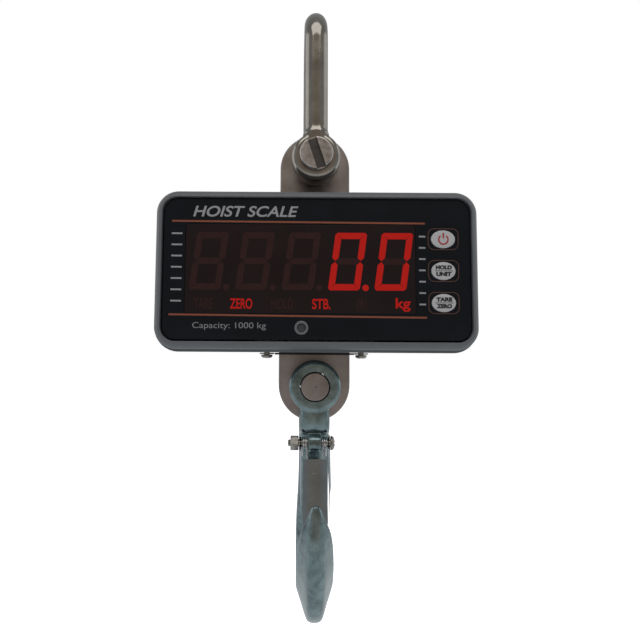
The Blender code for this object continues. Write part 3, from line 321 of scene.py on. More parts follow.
def turned_mesh(name, profile, axis, centre, steps=96, edge=0.25):
    """A profile of (radius, place along the axis) with softened corners, turned round it:
    point = (r cos a, r sin a, t)."""
    line = soften(profile, edge)
    a = np.linspace(0, TAU, steps, endpoint=False)
    r = line[:, :1]
    points = np.stack([r * np.cos(a), r * np.sin(a), np.broadcast_to(line[:, 1:], (len(line), steps))], -1)
    return tube_mesh(name, turn_onto(points, axis, centre), caps=False)


def box_mesh(name, low, high):
    """A plain box, for cutting."""
    low, high = np.asarray(low, float), np.asarray(high, float)
    corners = np.array([[x, y, z] for x in (0, 1) for y in (0, 1) for z in (0, 1)], float)
    points = low + corners * (high - low)
    faces = [(0, 1, 3, 2), (4, 6, 7, 5), (0, 4, 5, 1), (2, 3, 7, 6), (0, 2, 6, 4), (1, 5, 7, 3)]
    return mesh_of(name, points, faces)


def round_rect(w, h, r, cx=0.0, cz=0.0, steps=20):
    """A rounded rectangle as an (n, 2) loop: four quarter circles."""
    a = np.linspace(0, math.pi / 2, steps)
    quarter = np.stack([np.cos(a), np.sin(a)], 1) * r
    x, z = w / 2 - r, h / 2 - r
    spin = [quarter, quarter[:, ::-1] * (-1, 1), -quarter, quarter[:, ::-1] * (1, -1)]
    corners = [(x, z), (-x, z), (-x, -z), (x, -z)]
    return np.vstack([s + c for s, c in zip(spin, corners)]) + (cx, cz)


def case_rings(profile, steps=20):
    """Rings of the casing's outline for a profile of (inset, y)."""
    rings = []
    for inset, y in profile:
        r = max(CASE_R - inset, 0.6)
        loop = round_rect(CASE_W - 2 * inset, CASE_H - 2 * inset, r, 0.0, CASE_Z, steps)
        rings.append(np.stack([loop[:, 0], np.full(len(loop), y), loop[:, 1]], 1))
    return np.array(rings)


def slab_mesh(name, loop_at, low, high, edge, axis="Y", steps=5):
    """A plate of even thickness whose rim is rounded: at angle a round the rim the outline is
    loop_at(edge (1 - sin a)) and the depth is edge (1 - cos a) from the face."""
    a = np.linspace(0, math.pi / 2, steps)
    inset = edge * (1 - np.sin(a))
    depth = edge * (1 - np.cos(a))
    levels = [(i, low + d) for i, d in zip(inset, depth)]
    levels += [(i, high - d) for i, d in zip(inset[::-1], depth[::-1])]
    rings = []
    for i, t in levels:
        loop = loop_at(i)
        rings.append(np.stack([loop[:, 0], loop[:, 1], np.full(len(loop), t)], 1))
    points = np.array(rings)
    u, v, t = points[..., 0], points[..., 1], points[..., 2]
    laid = {"X": (t, u, v), "Y": (u, t, v), "Z": (u, v, t)}[axis]
    return tube_mesh(name, np.stack(laid, -1))


def prints_mesh(name, loops, front):
    """Thin raised marks: each loop of (x, z) is a face at `front`, closed PRINT_T behind it."""
    points = []
    faces = []
    for loop in loops:
        n = len(loop)
        base = len(points)
        points += [(x, front, z) for x, z in loop]
        points += [(x, front + PRINT_T, z) for x, z in loop]
        faces.append([base + i for i in range(n)])
        faces.append([base + n + i for i in reversed(range(n))])
        faces += [[base + i, base + (i + 1) % n, base + n + (i + 1) % n, base + n + i] for i in range(n)]
    return mesh_of(name, points, faces)


def frame_mesh(name, outer, inner, front):
    """A thin printed outline between two loops of equal length."""
    section = [(outer, front), (inner, front), (inner, front + PRINT_T), (outer, front + PRINT_T)]
    rings = [np.stack([loop[:, 0], np.full(len(loop), y), loop[:, 1]], 1) for loop, y in section]
    return tube_mesh(name, np.array(rings), wrap_rows=True)


def lettering(name, text, box, front, shear=0.0, weight=0.0, body="scale", mat="grey_ink"):
    """Words in the built-in font, stretched to fill box = (x low, z low, x high, z high)."""
    curve = bpy.data.curves.new(name, "FONT")
    curve.body = text
    curve.shear = shear
    curve.offset = weight
    curve.extrude = 0.01
    obj = bpy.data.objects.new(name, curve)
    bpy.context.scene.collection.objects.link(obj)
    graph = bpy.context.evaluated_depsgraph_get()
    mesh = bpy.data.meshes.new_from_object(obj.evaluated_get(graph))
    bpy.data.objects.remove(obj)
    points = np.empty(len(mesh.vertices) * 3)
    mesh.vertices.foreach_get("co", points)
    points = points.reshape(-1, 3)
    low, high = points.min(0), points.max(0)
    share = (points - low) / (high - low)
    x0, z0, x1, z1 = box
    placed = np.stack([x0 + share[:, 0] * (x1 - x0), front + (1 - share[:, 2]) * PRINT_T,
                       z0 + share[:, 1] * (z1 - z0)], 1)
    mesh.vertices.foreach_set("co", (placed * MM).ravel())
    mesh.update()
    return show(mesh, name, body, mat)


# ---------------------------------------------------------------- more mesh tools
def joined(mesh, others, operation):
    """The mesh with others united, taken away or kept in common."""
    scene = bpy.context.scene
    host = bpy.data.objects.new("host", mesh)
    scene.collection.objects.link(host)
    tools = []
    for i, other in enumerate(others):
        tool = bpy.data.objects.new(f"tool_{i}", other)
        scene.collection.objects.link(tool)
        mod = host.modifiers.new(f"step_{i}", "BOOLEAN")
        mod.operation = operation
        mod.solver = "EXACT"
        mod.object = tool
        tools.append(tool)
    graph = bpy.context.evaluated_depsgraph_get()
    result = bpy.data.meshes.new_from_object(host.evaluated_get(graph))
    for obj in (host, *tools):
        bpy.data.objects.remove(obj)
    return result


def rod_mesh(name, r, low, high, centre, axis, steps=96):
    """A plain cylinder, for cutting and joining."""
    return turned_mesh(name, [(0, low), (r, low), (r, high), (0, high)], axis, centre, steps, 0.0001)


def tilted(mesh, axis, degrees, centre):
    """Turns a mesh about the origin, then moves it to centre (mm)."""
    turn = Matrix.Rotation(math.radians(degrees), 4, axis)
    mesh.transform(Matrix.Translation([c * MM for c in centre]) @ turn)
    return mesh


def flowing(points, parts, closed=False):
    """Catmull-Rom along the first axis: `parts` steps between neighbouring points."""
    p = np.asarray(points, float)
    count = len(p) if closed else len(p) - 1
    ends = np.concatenate([p[-1:], p, p[:2]]) if closed else np.concatenate([p[:1], p, p[-1:]])
    a, b, c, d = (ends[i:i + count] for i in range(4))
    t = np.arange(parts) / parts
    t = t.reshape((1, parts) + (1,) * (p.ndim - 1))
    a, b, c, d = (q[:, None] for q in (a, b, c, d))
    line = 0.5 * (2 * b + (c - a) * t + (2 * a - 5 * b + 4 * c - d) * t ** 2
                  + (3 * b - 3 * c + d - a) * t ** 3)
    line = line.reshape((count * parts,) + p.shape[1:])
    return line if closed else np.concatenate([line, p[-1:]])


def pipe_mesh(name, path, radius, sides=16):
    """A round wire: rings set square to the path's direction, carried along it without twist."""
    path = np.asarray(path, float)
    along = np.gradient(path, axis=0)
    along /= np.linalg.norm(along, axis=1)[:, None]
    side = np.cross(along, (0.0, 0.3, 0.95))
    side /= np.linalg.norm(side, axis=1)[:, None]
    other = np.cross(along, side)
    a = np.linspace(0, TAU, sides, endpoint=False)
    ring = np.cos(a)[None, :, None] * side[:, None] + np.sin(a)[None, :, None] * other[:, None]
    return tube_mesh(name, path[:, None] + radius * ring)


# ---------------------------------------------------------------- shackle
EAR_ROUND = 3.7                                     # round of an ear's rim
FLOW_FROM, FLOW_RUN, FLOW_SOFT = 8.5, 5.0, 5.0      # where an ear runs into its bar
PIN_SHOULDER, PIN_HEAD_T, PIN_GAP = 1.2, 2.9, 0.35
THREAD_DEEP, THREAD_STEP, THREAD_RUN = 0.45, 0.5, 11
SLOT_HALF, SLOT_DEEP, SLOT_TILT = 2.5, 1.8, 18
PIN_R = (PIN_HIGH[0] - PIN_LOW[0]) / 2 - PIN_SHOULDER
BORE_R = PIN_R + PIN_GAP


def bow_radius(x, y, z):
    """Distance from the bow's skin near a leg: a round bar run into a disc with rounded rims.
    The two distances are blended only above the disc, where the forging flows between them."""
    up = z - UPPER_Z
    bar = np.sqrt(x ** 2 + y ** 2 + np.minimum(up, 0) ** 2) - BAR_R
    over_r = np.hypot(x, up) - (EAR_R - EAR_ROUND)
    over_t = np.abs(y) - (BAR_R - EAR_ROUND)
    outside = np.hypot(np.maximum(over_r, 0), np.maximum(over_t, 0))
    ear = outside + np.minimum(np.maximum(over_r, over_t), 0) - EAR_ROUND
    k = 0.01 + FLOW_SOFT * np.clip((up - FLOW_FROM) / FLOW_RUN, 0, 1)
    h = np.clip(0.5 + 0.5 * (ear - bar) / k, 0, 1)
    return ear + (bar - ear) * h - k * h * (1 - h)


def bow_mesh():
    """Rings along the U of the bow.  Each ring lies square to the path, and at angle a its
    radius is where bow_radius is nought, found by halving between the middle and 22 mm."""
    a = np.linspace(0, TAU, 144, endpoint=False)
    low = EAR_R * (1 - np.cos(np.linspace(0.05, math.pi / 2, 48))) + UPPER_Z - EAR_R
    leg = np.concatenate([low, np.arange(0.4, 26, 0.4) + UPPER_Z, np.linspace(UPPER_Z + 27, ARCH_Z, 16)])
    near = np.zeros((len(leg), len(a)))
    far = np.full_like(near, 22.0)
    for _ in range(28):
        r = (near + far) / 2
        inside = bow_radius(r * np.cos(a), r * np.sin(a), leg[:, None]) < 0
        near = np.where(inside, r, near)
        far = np.where(inside, far, r)
    front = np.stack([r * np.cos(a), -LEG_Y - r * np.sin(a), np.broadcast_to(leg[:, None], r.shape)], -1)
    turn = np.linspace(math.pi, 0, 66)[1:-1, None]
    reach = LEG_Y + BAR_R * np.sin(a)
    arch = np.stack([np.broadcast_to(BAR_R * np.cos(a), (64, len(a))), reach * np.cos(turn),
                     ARCH_Z + reach * np.sin(turn)], -1)
    rear = front[::-1] * (1, -1, 1)
    bow = tube_mesh("bow", np.concatenate([front, arch, rear]))
    bore = rod_mesh("bore", BORE_R, -THROUGH, THROUGH, (0, 0, UPPER_Z), "Y", 128)
    return joined(bow, [bore], "DIFFERENCE")


def across_head(name, half, deep, long):
    """A bar laid along the pin's tilted slot, `deep` = (from, to) measured off the head's face."""
    bar = box_mesh(name, (-half, deep[0], -long), (half, deep[1], long))
    return tilted(bar, "Y", -SLOT_TILT, (0, PIN_LOW[1], UPPER_Z))


def pin_mesh():
    """The screw pin: a turned head with a tilted slot, a plain shank and a fine threaded end."""
    top, end = PIN_LOW[1], PIN_HIGH[1]
    head, neck = PIN_R + PIN_SHOULDER, top + PIN_HEAD_T
    thread = np.arange(0, THREAD_RUN, THREAD_STEP)
    crest = [(PIN_R - (0.0 if i % 2 else THREAD_DEEP), end - 1.4 - t) for i, t in enumerate(thread)]
    profile = [(0, end), (PIN_R - 1.2, end), *crest, (PIN_R, end - THREAD_RUN - 2), (PIN_R, neck), (head, neck),
               (head, top + 0.7), (head - 0.5, top + 0.15), (head - 1.2, top), (0, top)]
    pin = turned_mesh("pin", profile, "Y", (0, 0, UPPER_Z), 128, 0.2)
    return joined(pin, [across_head("slot", SLOT_HALF, (-SLOT_DEEP, SLOT_DEEP), 13)], "DIFFERENCE")


show(bow_mesh(), "shackle_forged_bow", "shackle", "stainless", ["shackle_bow"], 40)
show(pin_mesh(), "shackle_slotted_pin", "pin", "pin", ["shackle_pin"], 30)
# A thin dark inlay just above the slot's floor: painted shade where the slot's recess lies in shadow.
slot_shade = across_head("slot_shade", SLOT_HALF - 0.04, (SLOT_DEEP - 0.08, SLOT_DEEP - 0.02), 8.2)
show(slot_shade, "slot_floor_shade_inlay", "pin", "slot_shade")


# ---------------------------------------------------------------- load cell plate
PLATE_ROUND, POCKET_R, POCKET_DEEP = 0.8, 12.0, 3


def stadium(inset, steps=64):
    """The plate's outline, moved in: two half circles joined by straight sides."""
    r = PLATE_W / 2 - inset
    a = np.linspace(0, math.pi, steps)
    upper = np.stack([r * np.cos(a), r * np.sin(a) + UPPER_Z], 1)
    lower = np.stack([-r * np.cos(a), -r * np.sin(a) + LOWER_Z], 1)
    return np.vstack([upper, lower])


holes = [rod_mesh("bore", r, -THROUGH, THROUGH, (0, 0, z), "Y")
         for r, z in ((BORE_R, UPPER_Z), (HOOK_PIN_R + PIN_GAP, LOWER_Z))]
for side in (-1, 1):
    ends = sorted((side * (PLATE_T / 2 - POCKET_DEEP), side * (PLATE_T / 2 + 1)))
    holes.append(rod_mesh("pocket", POCKET_R, *ends, (0, 0, CASE_Z), "Y"))
plate = joined(slab_mesh("plate", stadium, PLATE_LOW[1], PLATE_HIGH[1], PLATE_ROUND), holes, "DIFFERENCE")
show(plate, "load_cell_plate", "scale", "plate", ["load_cell"], 40)


# ---------------------------------------------------------------- casing
WALL, BACK_ROUND = 2.8, 4.5
SLOT_GAP = 0.6          # casing round the plate
DOOR_GAP = 0.3
SINK_R, SINK_DEEP = 3.6, 2.6
RIM_IN, RIM_BACK = 1.4, 1.5     # bezel inside the casing's outline, and short of it
GROOVE = 0.9                    # dark gap round the overlay


def middle_of(name):
    """The middle of a CAD node's box: half the sum of its low and high corners."""
    low, high = extent(name)
    return (low + high) / 2


def rear_cover_mesh():
    """The deep tub: its inner wall, its front rim and its outer wall with a rounded back, as
    one run of outlines; the rear openings are cut into it."""
    front, back = CASE_LOW[1], CASE_HIGH[1]
    inner = [(8.0, back - WALL), (WALL + 1, back - WALL - 1), (WALL, back - WALL - 3), (WALL, front + 0.3),
             (WALL - 0.3, front)]
    outer = [(0.35, front), (0.1, front + 0.1), (0.0, front + 0.35)]
    rounded = [(BACK_ROUND * (1 - math.cos(t)), back - BACK_ROUND * (1 - math.sin(t)))
               for t in np.linspace(0, math.pi / 2, 9)]
    shell = tube_mesh("shell", case_rings([*inner, *outer, *rounded]))
    plate_gap = (SLOT_GAP, SLOT_GAP, 0)
    cutters = [box_mesh("slot", PLATE_LOW - plate_gap, PLATE_HIGH + plate_gap),
               box_mesh("rebate", DOOR_LOW - DOOR_GAP, DOOR_HIGH + (DOOR_GAP, 2, DOOR_GAP))]
    for i in range(1, 5):
        x, _, z = middle_of(f"case_screw_{i}")
        cutters.append(rod_mesh("sink", SINK_R, back - SINK_DEEP, back + 1, (x, 0, z), "Y", 48))
    low, high = extent("charge_plug")
    x, _, z = (low + high) / 2
    cutters.append(rod_mesh("socket", (high[0] - low[0]) / 2 + 0.5, back - 6, back + 1, (x, 0, z), "Y", 64))
    return joined(shell, cutters, "DIFFERENCE")


def bezel_mesh():
    """The bezel's rim: up the outside, over a rounded shoulder to the lip, down into the dark
    groove round the overlay, and back underneath."""
    front, back = BEZEL_FRONT, CASE_LOW[1] - RIM_BACK
    lip = PANEL_IN - GROOVE
    under = [(lip - 0.1, back), (1.8, back), (RIM_IN, back - 0.4)]
    shoulder = [(RIM_IN, front + 4.6), (1.65, front + 3.5), (2.2, front + 2.4), (3.0, front + 1.4),
                (3.9, front + 0.6), (lip - 0.35, front + 0.1), (lip - 0.1, front)]
    groove = [(lip + 0.05, front + 0.12), (lip + 0.12, front + 0.5), (lip + 0.12, PANEL_Y + 2)]
    return tube_mesh("rim", case_rings([*under, *flowing(shoulder, 4).tolist(), *groove]), wrap_rows=True)


def cross_screw(cad_node, name, axis, up):
    """A pan-head screw on a CAD screw's axis, with a cross recess; `up` is the head's side."""
    low, high = extent(cad_node)
    k = "XYZ".index(axis)
    other = [i for i in range(3) if i != k]
    r = (high[other[0]] - low[other[0]]) / 2
    centre = (low + high) / 2
    centre[k] = 0.0
    top, end = (high[k], low[k]) if up > 0 else (low[k], high[k])
    profile = [(0, top), (0.45 * r, top), (0.8 * r, top - up * 0.25), (r, top - up), (r, top - up * 2),
               (0.5 * r, top - up * 2), (0.5 * r, end), (0, end)]
    screw = turned_mesh(name, profile, axis, centre, 48, 0.2)
    arms = []
    for long in other:
        size = np.full(3, 0.42)
        size[long] = 0.55 * r
        size[k] = 1.1
        face = centre.copy()
        face[k] = top
        arms.append(box_mesh("arm", face - size, face + size))
    show(joined(screw, arms, "DIFFERENCE"), name, "scale", "fastener", [cad_node], 35)


show(rear_cover_mesh(), "cast_rear_cover", "scale", "case", ["rear_cover"], 30)
show(bezel_mesh(), "cast_bezel_rim", "scale", "case", ["front_frame"], 40)
for i in range(1, 5):
    cross_screw(f"case_screw_{i}", f"rear_screw_{i}", "Y", 1)
for side in SIDES:
    cross_screw(f"door_screw_{side}", f"door_pan_screw_{side}", "Y", 1)
    cross_screw(f"underside_screw_{side}", f"clamp_pan_screw_{side}", "Z", -1)

# The battery door: a thin plate with sinks for its screws and five grip grooves.
DOOR_W, _, DOOR_H = DOOR_HIGH - DOOR_LOW
DOOR_X, _, DOOR_Z = (DOOR_HIGH + DOOR_LOW) / 2
DOOR_BACK = DOOR_HIGH[1]
DOOR_R, DOOR_ROUND, DOOR_SINK_R, DOOR_SINK_DEEP = 1.5, 0.4, 3.0, 1.4
GRIP_HALF_W, GRIP_HALF_H, GRIP_DEEP, GRIP_PITCH, GRIP_DOWN = 9, 0.5, 0.5, 2.2, 16
door = slab_mesh("door", lambda i: round_rect(DOOR_W - 2 * i, DOOR_H - 2 * i, DOOR_R, DOOR_X, DOOR_Z, 8),
                 DOOR_LOW[1], DOOR_BACK - 0.02, DOOR_ROUND)
door_cuts = []
for side in SIDES:
    x, _, z = middle_of(f"door_screw_{side}")
    sink = (DOOR_BACK - DOOR_SINK_DEEP, DOOR_BACK + 2)
    door_cuts.append(rod_mesh("sink", DOOR_SINK_R, *sink, (x, 0, z), "Y", 48))
for k in range(-2, 3):
    z = DOOR_Z - GRIP_DOWN + GRIP_PITCH * k
    door_cuts.append(box_mesh("grip", (DOOR_X - GRIP_HALF_W, DOOR_BACK - GRIP_DEEP, z - GRIP_HALF_H),
                              (DOOR_X + GRIP_HALF_W, DOOR_BACK + 1, z + GRIP_HALF_H)))
show(joined(door, door_cuts, "DIFFERENCE"), "battery_hatch", "scale", "case", ["battery_door"])


# ---------------------------------------------------------------- front panel
def slab_of(name, size, centre, radius, low, high, edge):
    """A rounded-rectangle plate facing -Y."""
    w, h = size
    return slab_mesh(name, lambda i: round_rect(w - 2 * i, h - 2 * i, max(radius - i, 0.2), *centre),
                     low, high, edge)


def oval_loop(w, h, cx, cz, steps=64):
    """An ellipse as an (n, 2) loop: (w/2 cos a, h/2 sin a) about its centre."""
    a = np.linspace(0, TAU, steps, endpoint=False)
    return np.stack([cx + w / 2 * np.cos(a), cz + h / 2 * np.sin(a)], 1)


FLAT = [0, 2]                   # the two axes of the panel's face
OPEN = (PANEL_Y - 1, PANEL_Y + 2)
WINDOW_SIZE = (WINDOW_HIGH - WINDOW_LOW)[FLAT]
WINDOW_MID = ((WINDOW_HIGH + WINDOW_LOW) / 2)[FLAT]
WINDOW_GAP, WINDOW_R = 0.3, 1.5
KEYS = {key: extent(f"key_{key}") for key in ("power", "hold", "tare")}
KEY_GAP = 0.4
OUTLINE_W, OUTLINE_H, OUTLINE_R, OUTLINE_T = 15.8, 11.2, 3.2, 0.7
IR_X, _, IR_Z = (IR_LOW + IR_HIGH) / 2
IR_OPEN_R = 3.8

panel = slab_of("panel", (PANEL_HIGH - PANEL_LOW)[FLAT], (0, CASE_Z), CASE_R - PANEL_IN, PANEL_Y,
                PANEL_HIGH[1], 0.25)
openings = [slab_of("opening", WINDOW_SIZE + WINDOW_GAP, WINDOW_MID, WINDOW_R + 0.1, *OPEN, SHARP)]
for low, high in KEYS.values():
    (w, h), mid = (high - low)[FLAT], ((low + high) / 2)[FLAT]
    openings.append(slab_mesh("opening", lambda i: oval_loop(w + KEY_GAP, h + KEY_GAP, *mid), *OPEN, SHARP))
openings.append(rod_mesh("opening", IR_OPEN_R, *OPEN, (IR_X, 0, IR_Z), "Y"))
show(joined(panel, openings, "DIFFERENCE"), "printed_overlay", "scale", "film",
     ["overlay_panel"])
window = slab_of("window", WINDOW_SIZE, WINDOW_MID, WINDOW_R, PANEL_Y, WINDOW_HIGH[1], 0.2)
show(window, "filter_window", "scale", "filter", ["display_window"])

# A key cap is a shallow dome: (inset, height under its top) from the crown's edge inwards.
DOME = ((0.0, 0.75), (0.12, 0.5), (0.4, 0.28), (0.8, 0.17), (1.24, 0.12), (2.4, 0.05), (3.8, 0.01), (4.6, 0.0))
for key, (low, high) in KEYS.items():
    (w, h), mid = (high - low)[FLAT], ((low + high) / 2)[FLAT]
    rise = [(0.0, high[1]), *((inset, low[1] + under) for inset, under in DOME)]
    rings = [np.insert(oval_loop(w - 2 * i, h - 2 * i, *mid), 1, y, 1) for i, y in rise]
    show(tube_mesh("key", np.array(rings)), f"{key}_key_cap", f"{key}_key", "key", [f"key_{key}"])
    outline = [round_rect(OUTLINE_W - d, OUTLINE_H - d, OUTLINE_R - d / 2, *mid) for d in (0.0, OUTLINE_T)]
    show(frame_mesh("outline", *outline, PANEL_Y - PRINT_T), f"{key}_key_outline", "scale", "brown_ink")

# The receiver: a grey ring with a dark lens sunk in it, as (radius, depth under the face).
RING = ((0, 0.9), (2.25, 0.9), (2.35, 0.1), (2.6, 0), (3.2, 0), (3.55, 0.2), (3.6, 0.5), (3.6, 3.2), (0, 3.2))
LENS = ((0, 0.45), (1.4, 0.55), (2.2, 0.85), (2.2, 0.95), (0, 0.95))
for profile, edge, name, coat, replaced in ((RING, 0.1, "receiver_ring", "ring", ["ir_window"]),
                                            (LENS, 0.3, "receiver_lens", "lens", [])):
    line = [(r, IR_LOW[1] + under) for r, under in profile]
    show(turned_mesh(name, line, "Y", (IR_X, 0, IR_Z), 64, edge), name, "scale", coat, replaced)

# Printed marks, on one skin just proud of the overlay and the window.
SKIN = PANEL_Y - PRINT_T


def stroke(x0, z0, x1, z1, t):
    """A straight bar of thickness t between two points, as a loop."""
    a, b = np.array((x0, z0), float), np.array((x1, z1), float)
    n = np.array((a[1] - b[1], b[0] - a[0])) / np.linalg.norm(b - a) * t / 2
    return np.array([a + n, a - n, b - n, b + n])


DIGIT_X = WINDOW_MID[0] + 0.5
DIGIT_Z = CASE_Z + 4.0
DIGIT_PITCH = 23.75
DIGIT_PLACES = (-2, -1, 0, 1, 2)
SLANT = 0.135
SEG_W, SEG_H, SEG_T, SEG_GAP, SEG_CUT = 13.0, 26.6, 3.3, 0.22, 0.9
DOT_D, DOT_BACK, DOT_DOWN = 3.3, 2.7, 13.6


def segment_loops():
    """The seven segments about a digit's middle: mitred bars with their outer corners cut."""
    w, h, t, g, c = SEG_W / 2, SEG_H / 2, SEG_T / 2, SEG_GAP, SEG_CUT
    near, far = 0.35 * c, 0.65 * c
    top = np.array([(-w - t + g + c, h + t), (w + t - g - c, h + t), (w + t - g - near, h + t - far),
                    (w - t - g, h - t), (-w + t + g, h - t), (-w - t + g + near, h + t - far)])
    left = np.array([(-w - t, h + t - g - c), (-w - t + far, h + t - g - near), (-w + t, h - t - g),
                     (-w + t, t + g), (-w, g), (-w - t, t + g)])
    middle = np.array([(-w + g, 0), (-w + g + t, t), (w - g - t, t), (w - g, 0), (w - g - t, -t),
                       (-w + g + t, -t)])
    return {"top": top, "bottom": top * (1, -1), "left_top": left, "right_top": left * (-1, 1),
            "left_low": left * (1, -1), "right_low": left * (-1, -1), "middle": middle}


lit, unlit = [], []
for place in DIGIT_PLACES:
    x = DIGIT_X + place * DIGIT_PITCH
    for segment, loop in segment_loops().items():
        slanted = np.stack([x + loop[:, 0] + SLANT * loop[:, 1], DIGIT_Z + loop[:, 1]], 1)
        (lit if place > 0 and segment != "middle" else unlit).append(slanted)
    if place < 2:
        dot = oval_loop(DOT_D, DOT_D, x + DIGIT_PITCH / 2 - DOT_BACK, DIGIT_Z - DOT_DOWN, 24)
        (lit if place == 1 else unlit).append(dot)
show(prints_mesh("lit", lit, SKIN), "lit_segments", "scale", "lit")
show(prints_mesh("unlit", unlit, SKIN), "unlit_segments", "scale", "unlit")

# Annunciators under the digits, capitals on one line: text, whether lit, x low, x high.
SIGNS = (("TARE", False, -62.7, -53.1), ("ZERO", True, -44.2, -32.8), ("HOLD", False, -23.1, -12.0),
         ("STB.", True, -2.3, 7.1), ("(lb)", False, 20.5, 25.6), ("kg", True, 40.3, 47.9))
CAPITALS, WITH_TAILS = (-20.7, -15.3), (-21.7, -14.7)
for text, on, x0, x1 in SIGNS:
    z0, z1 = CAPITALS if text.strip(".").isupper() else WITH_TAILS
    lettering("sign_" + text.strip("(.)").lower(), text, (x0, CASE_Z + z0, x1, CASE_Z + z1), SKIN, 0.0, 0.022,
              mat="lit" if on else "unlit")

# Printed words, lines and ticks: x from the middle of the casing, z from its middle.
lettering("printed_title", "HOIST SCALE", (-63.9, CASE_Z + 27.0, -9.6, CASE_Z + 32.7), SKIN, 0.25, 0.018)
lettering("printed_capacity", "Capacity: 1000 kg", (-63.2, CASE_Z - 31.6, -25.7, CASE_Z - 27.6), SKIN, 0.0, 0.0,
          mat="dim_ink")
lines = [stroke(-74.6, CASE_Z + 24.7, 55.7, CASE_Z + 24.0, 0.95),
         stroke(-75.4, CASE_Z - 23.7, 56.2, CASE_Z - 24.7, 0.95)]
show(prints_mesh("lines", lines, SKIN), "printed_lines", "scale", "orange_ink")
ticks = [stroke(x0, CASE_Z + z, x1, CASE_Z + z - fall, 0.85)
         for x0, x1, z_top, z_low, fall in ((-74.7, -69.2, 18.2, -16.7, 0.05), (52.5, 55.8, 17.2, -17.9, 0.03))
         for z in np.linspace(z_top, z_low, 7)]
show(prints_mesh("ticks", ticks, SKIN), "printed_ticks", "scale", "grey_ink")

# Key legends ride on their own keys, on the flat of each dome.
CAP = KEYS["power"][0][1] - 0.03
RING_OUT, RING_IN, RING_DOWN = 2.75, 2.0, 0.3
WORD_H, WORD_UP, WORD_DOWN, RULE_HALF, RULE_T = 2.2, 0.65, 2.75, 4.6, 0.3
x, z = ((KEYS["power"][0] + KEYS["power"][1]) / 2)[FLAT]
a = np.linspace(math.radians(125), math.radians(415), 40)
circle = np.stack([np.cos(a), np.sin(a)], 1)
broken_ring = np.vstack([RING_OUT * circle, RING_IN * circle[::-1]]) + (x, z - RING_DOWN)
power_sign = [broken_ring, stroke(x, z + 0.2, x, z + 3.1, 0.8)]
show(prints_mesh("power", power_sign, CAP), "power_key_symbol", "power_key", "red_ink")
for key, upper, lower in (("hold", "HOLD", "UNIT"), ("tare", "TARE", "ZERO")):
    x, z = ((KEYS[key][0] + KEYS[key][1]) / 2)[FLAT]
    for text, foot, half in ((upper, z + WORD_UP, 4.1), (lower, z - WORD_DOWN, 3.9)):
        lettering(f"{key}_key_{text.lower()}_word", text, (x - half, foot, x + half, foot + WORD_H), CAP,
                  0.0, 0.07, f"{key}_key", "black_ink")
    rule = stroke(x - RULE_HALF, z, x + RULE_HALF, z, RULE_T)
    show(prints_mesh("rule", [rule], CAP), f"{key}_key_rule", f"{key}_key", "black_ink")


# ---------------------------------------------------------------- hook
# Each station is the throat-side point and the outer point, as (y, drop below the clevis
# floor), and the half widths there.
FLOOR_GAP = 2.3                 # plate's round end to the clevis floor
FLOOR_Z = LOWER_Z - PLATE_W / 2 - FLOOR_GAP
EAR_Y = HOOK_PIN_HIGH[1] - 1.4
NECK_Y = BOLT_Y + 5.3
ARM = (
    ((-EAR_Y, 14.4), (EAR_Y, 14.4), 8.4, 8.4), ((-EAR_Y, -0.2), (EAR_Y, -0.6), 8.4, 8.4),
    ((NECK_Y, -5.0), (16.6, -7.1), 8.4, 8.2), ((NECK_Y + 0.4, -10.6), (15.8, -14.1), 8.4, 7.8),
    ((-5.6, -18.6), (17.2, -21.6), 8.4, 7.2), ((-1.6, -27.6), (21.0, -30.1), 8.6, 6.2),
    ((4.6, -37.1), (26.6, -39.1), 8.9, 5.2), ((11.6, -46.6), (32.4, -49.1), 9.3, 4.4),
    ((17.2, -55.6), (36.6, -58.6), 9.7, 3.8), ((19.3, -65.8), (38.6, -70.2), 9.9, 3.6),
)
TIP = (
    ((-20.6, -65.6), (-38.4, -71.2), 9.8, 3.6), ((-24.2, -56.6), (-39.6, -60.1), 9.2, 3.4),
    ((-29.8, -49.1), (-39.6, -51.1), 7.9, 3.2), ((-32.4, -43.4), (-38.8, -44.2), 5.8, 3.0),
    ((-33.6, -38.6), (-37.8, -38.7), 3.8, 2.6), ((-34.2, -35.0), (-36.4, -34.9), 2.0, 1.5),
)
BOWL_DROP, BOWL_IN, BOWL_DEEP, BOWL_THIN = 63.7, 19.3, 22.8, 3.6
BOWL_WIDE, BOWL_NARROW = 9.9, 3.6
BOWL_ANGLES = (22, 42, 60, 76, 90, 104, 120, 138, 158)
CLEVIS_GAP, CLEVIS_ROUND = 13.4, 1.6
EAR_CHAMFER = 1.6
BOSS_R, BOSS_HALF, WEB_HALF_H = 5.0, 3.5, 4.7
BOLT_HOLE_R, ROLL_HOLE_R = 2.15, 1.65
VOXEL, RELAX_ROUNDS = 0.7, 5


def hook_rings():
    """The arm's rings: inner and outer points and half widths flow along the arm, and each
    ring's half width flows from the throat side (share 0) to the outside (share 1)."""
    bowl = []
    for angle in BOWL_ANGLES:
        c, s = math.cos(math.radians(angle)), math.sin(math.radians(angle))
        reach = BOWL_IN + BOWL_DEEP - BOWL_THIN * abs(c)
        bowl.append(((BOWL_IN * c, -BOWL_DROP - BOWL_IN * s), (reach * c, -BOWL_DROP - reach * s),
                     BOWL_WIDE, BOWL_NARROW))
    rows = flowing([[*i, *o, w, n] for i, o, w, n in (*ARM, *bowl, *TIP)], 8)
    along = np.array([0.0, 0.0, 0.07, 0.2, 0.55, 0.9, 0.98, 1.0])
    share = np.array([0.0, 0.55, 0.9, 1.0, 1.0, 1.0, 0.75, 0.3])
    half = np.stack([along, share], 1)[1:]
    ring = flowing(np.vstack([half, half[::-1] * (1, -1)]), 4, closed=True)
    along, share = ring[:, 0], ring[:, 1]
    yi, zi, yo, zo, wide, narrow = rows.T[:, :, None]
    width = wide + (narrow - wide) * np.maximum(0.0, along - 0.2) / 0.8
    return np.stack([width * share, yi + (yo - yi) * along, FLOOR_Z + zi + (zo - zi) * along], -1)


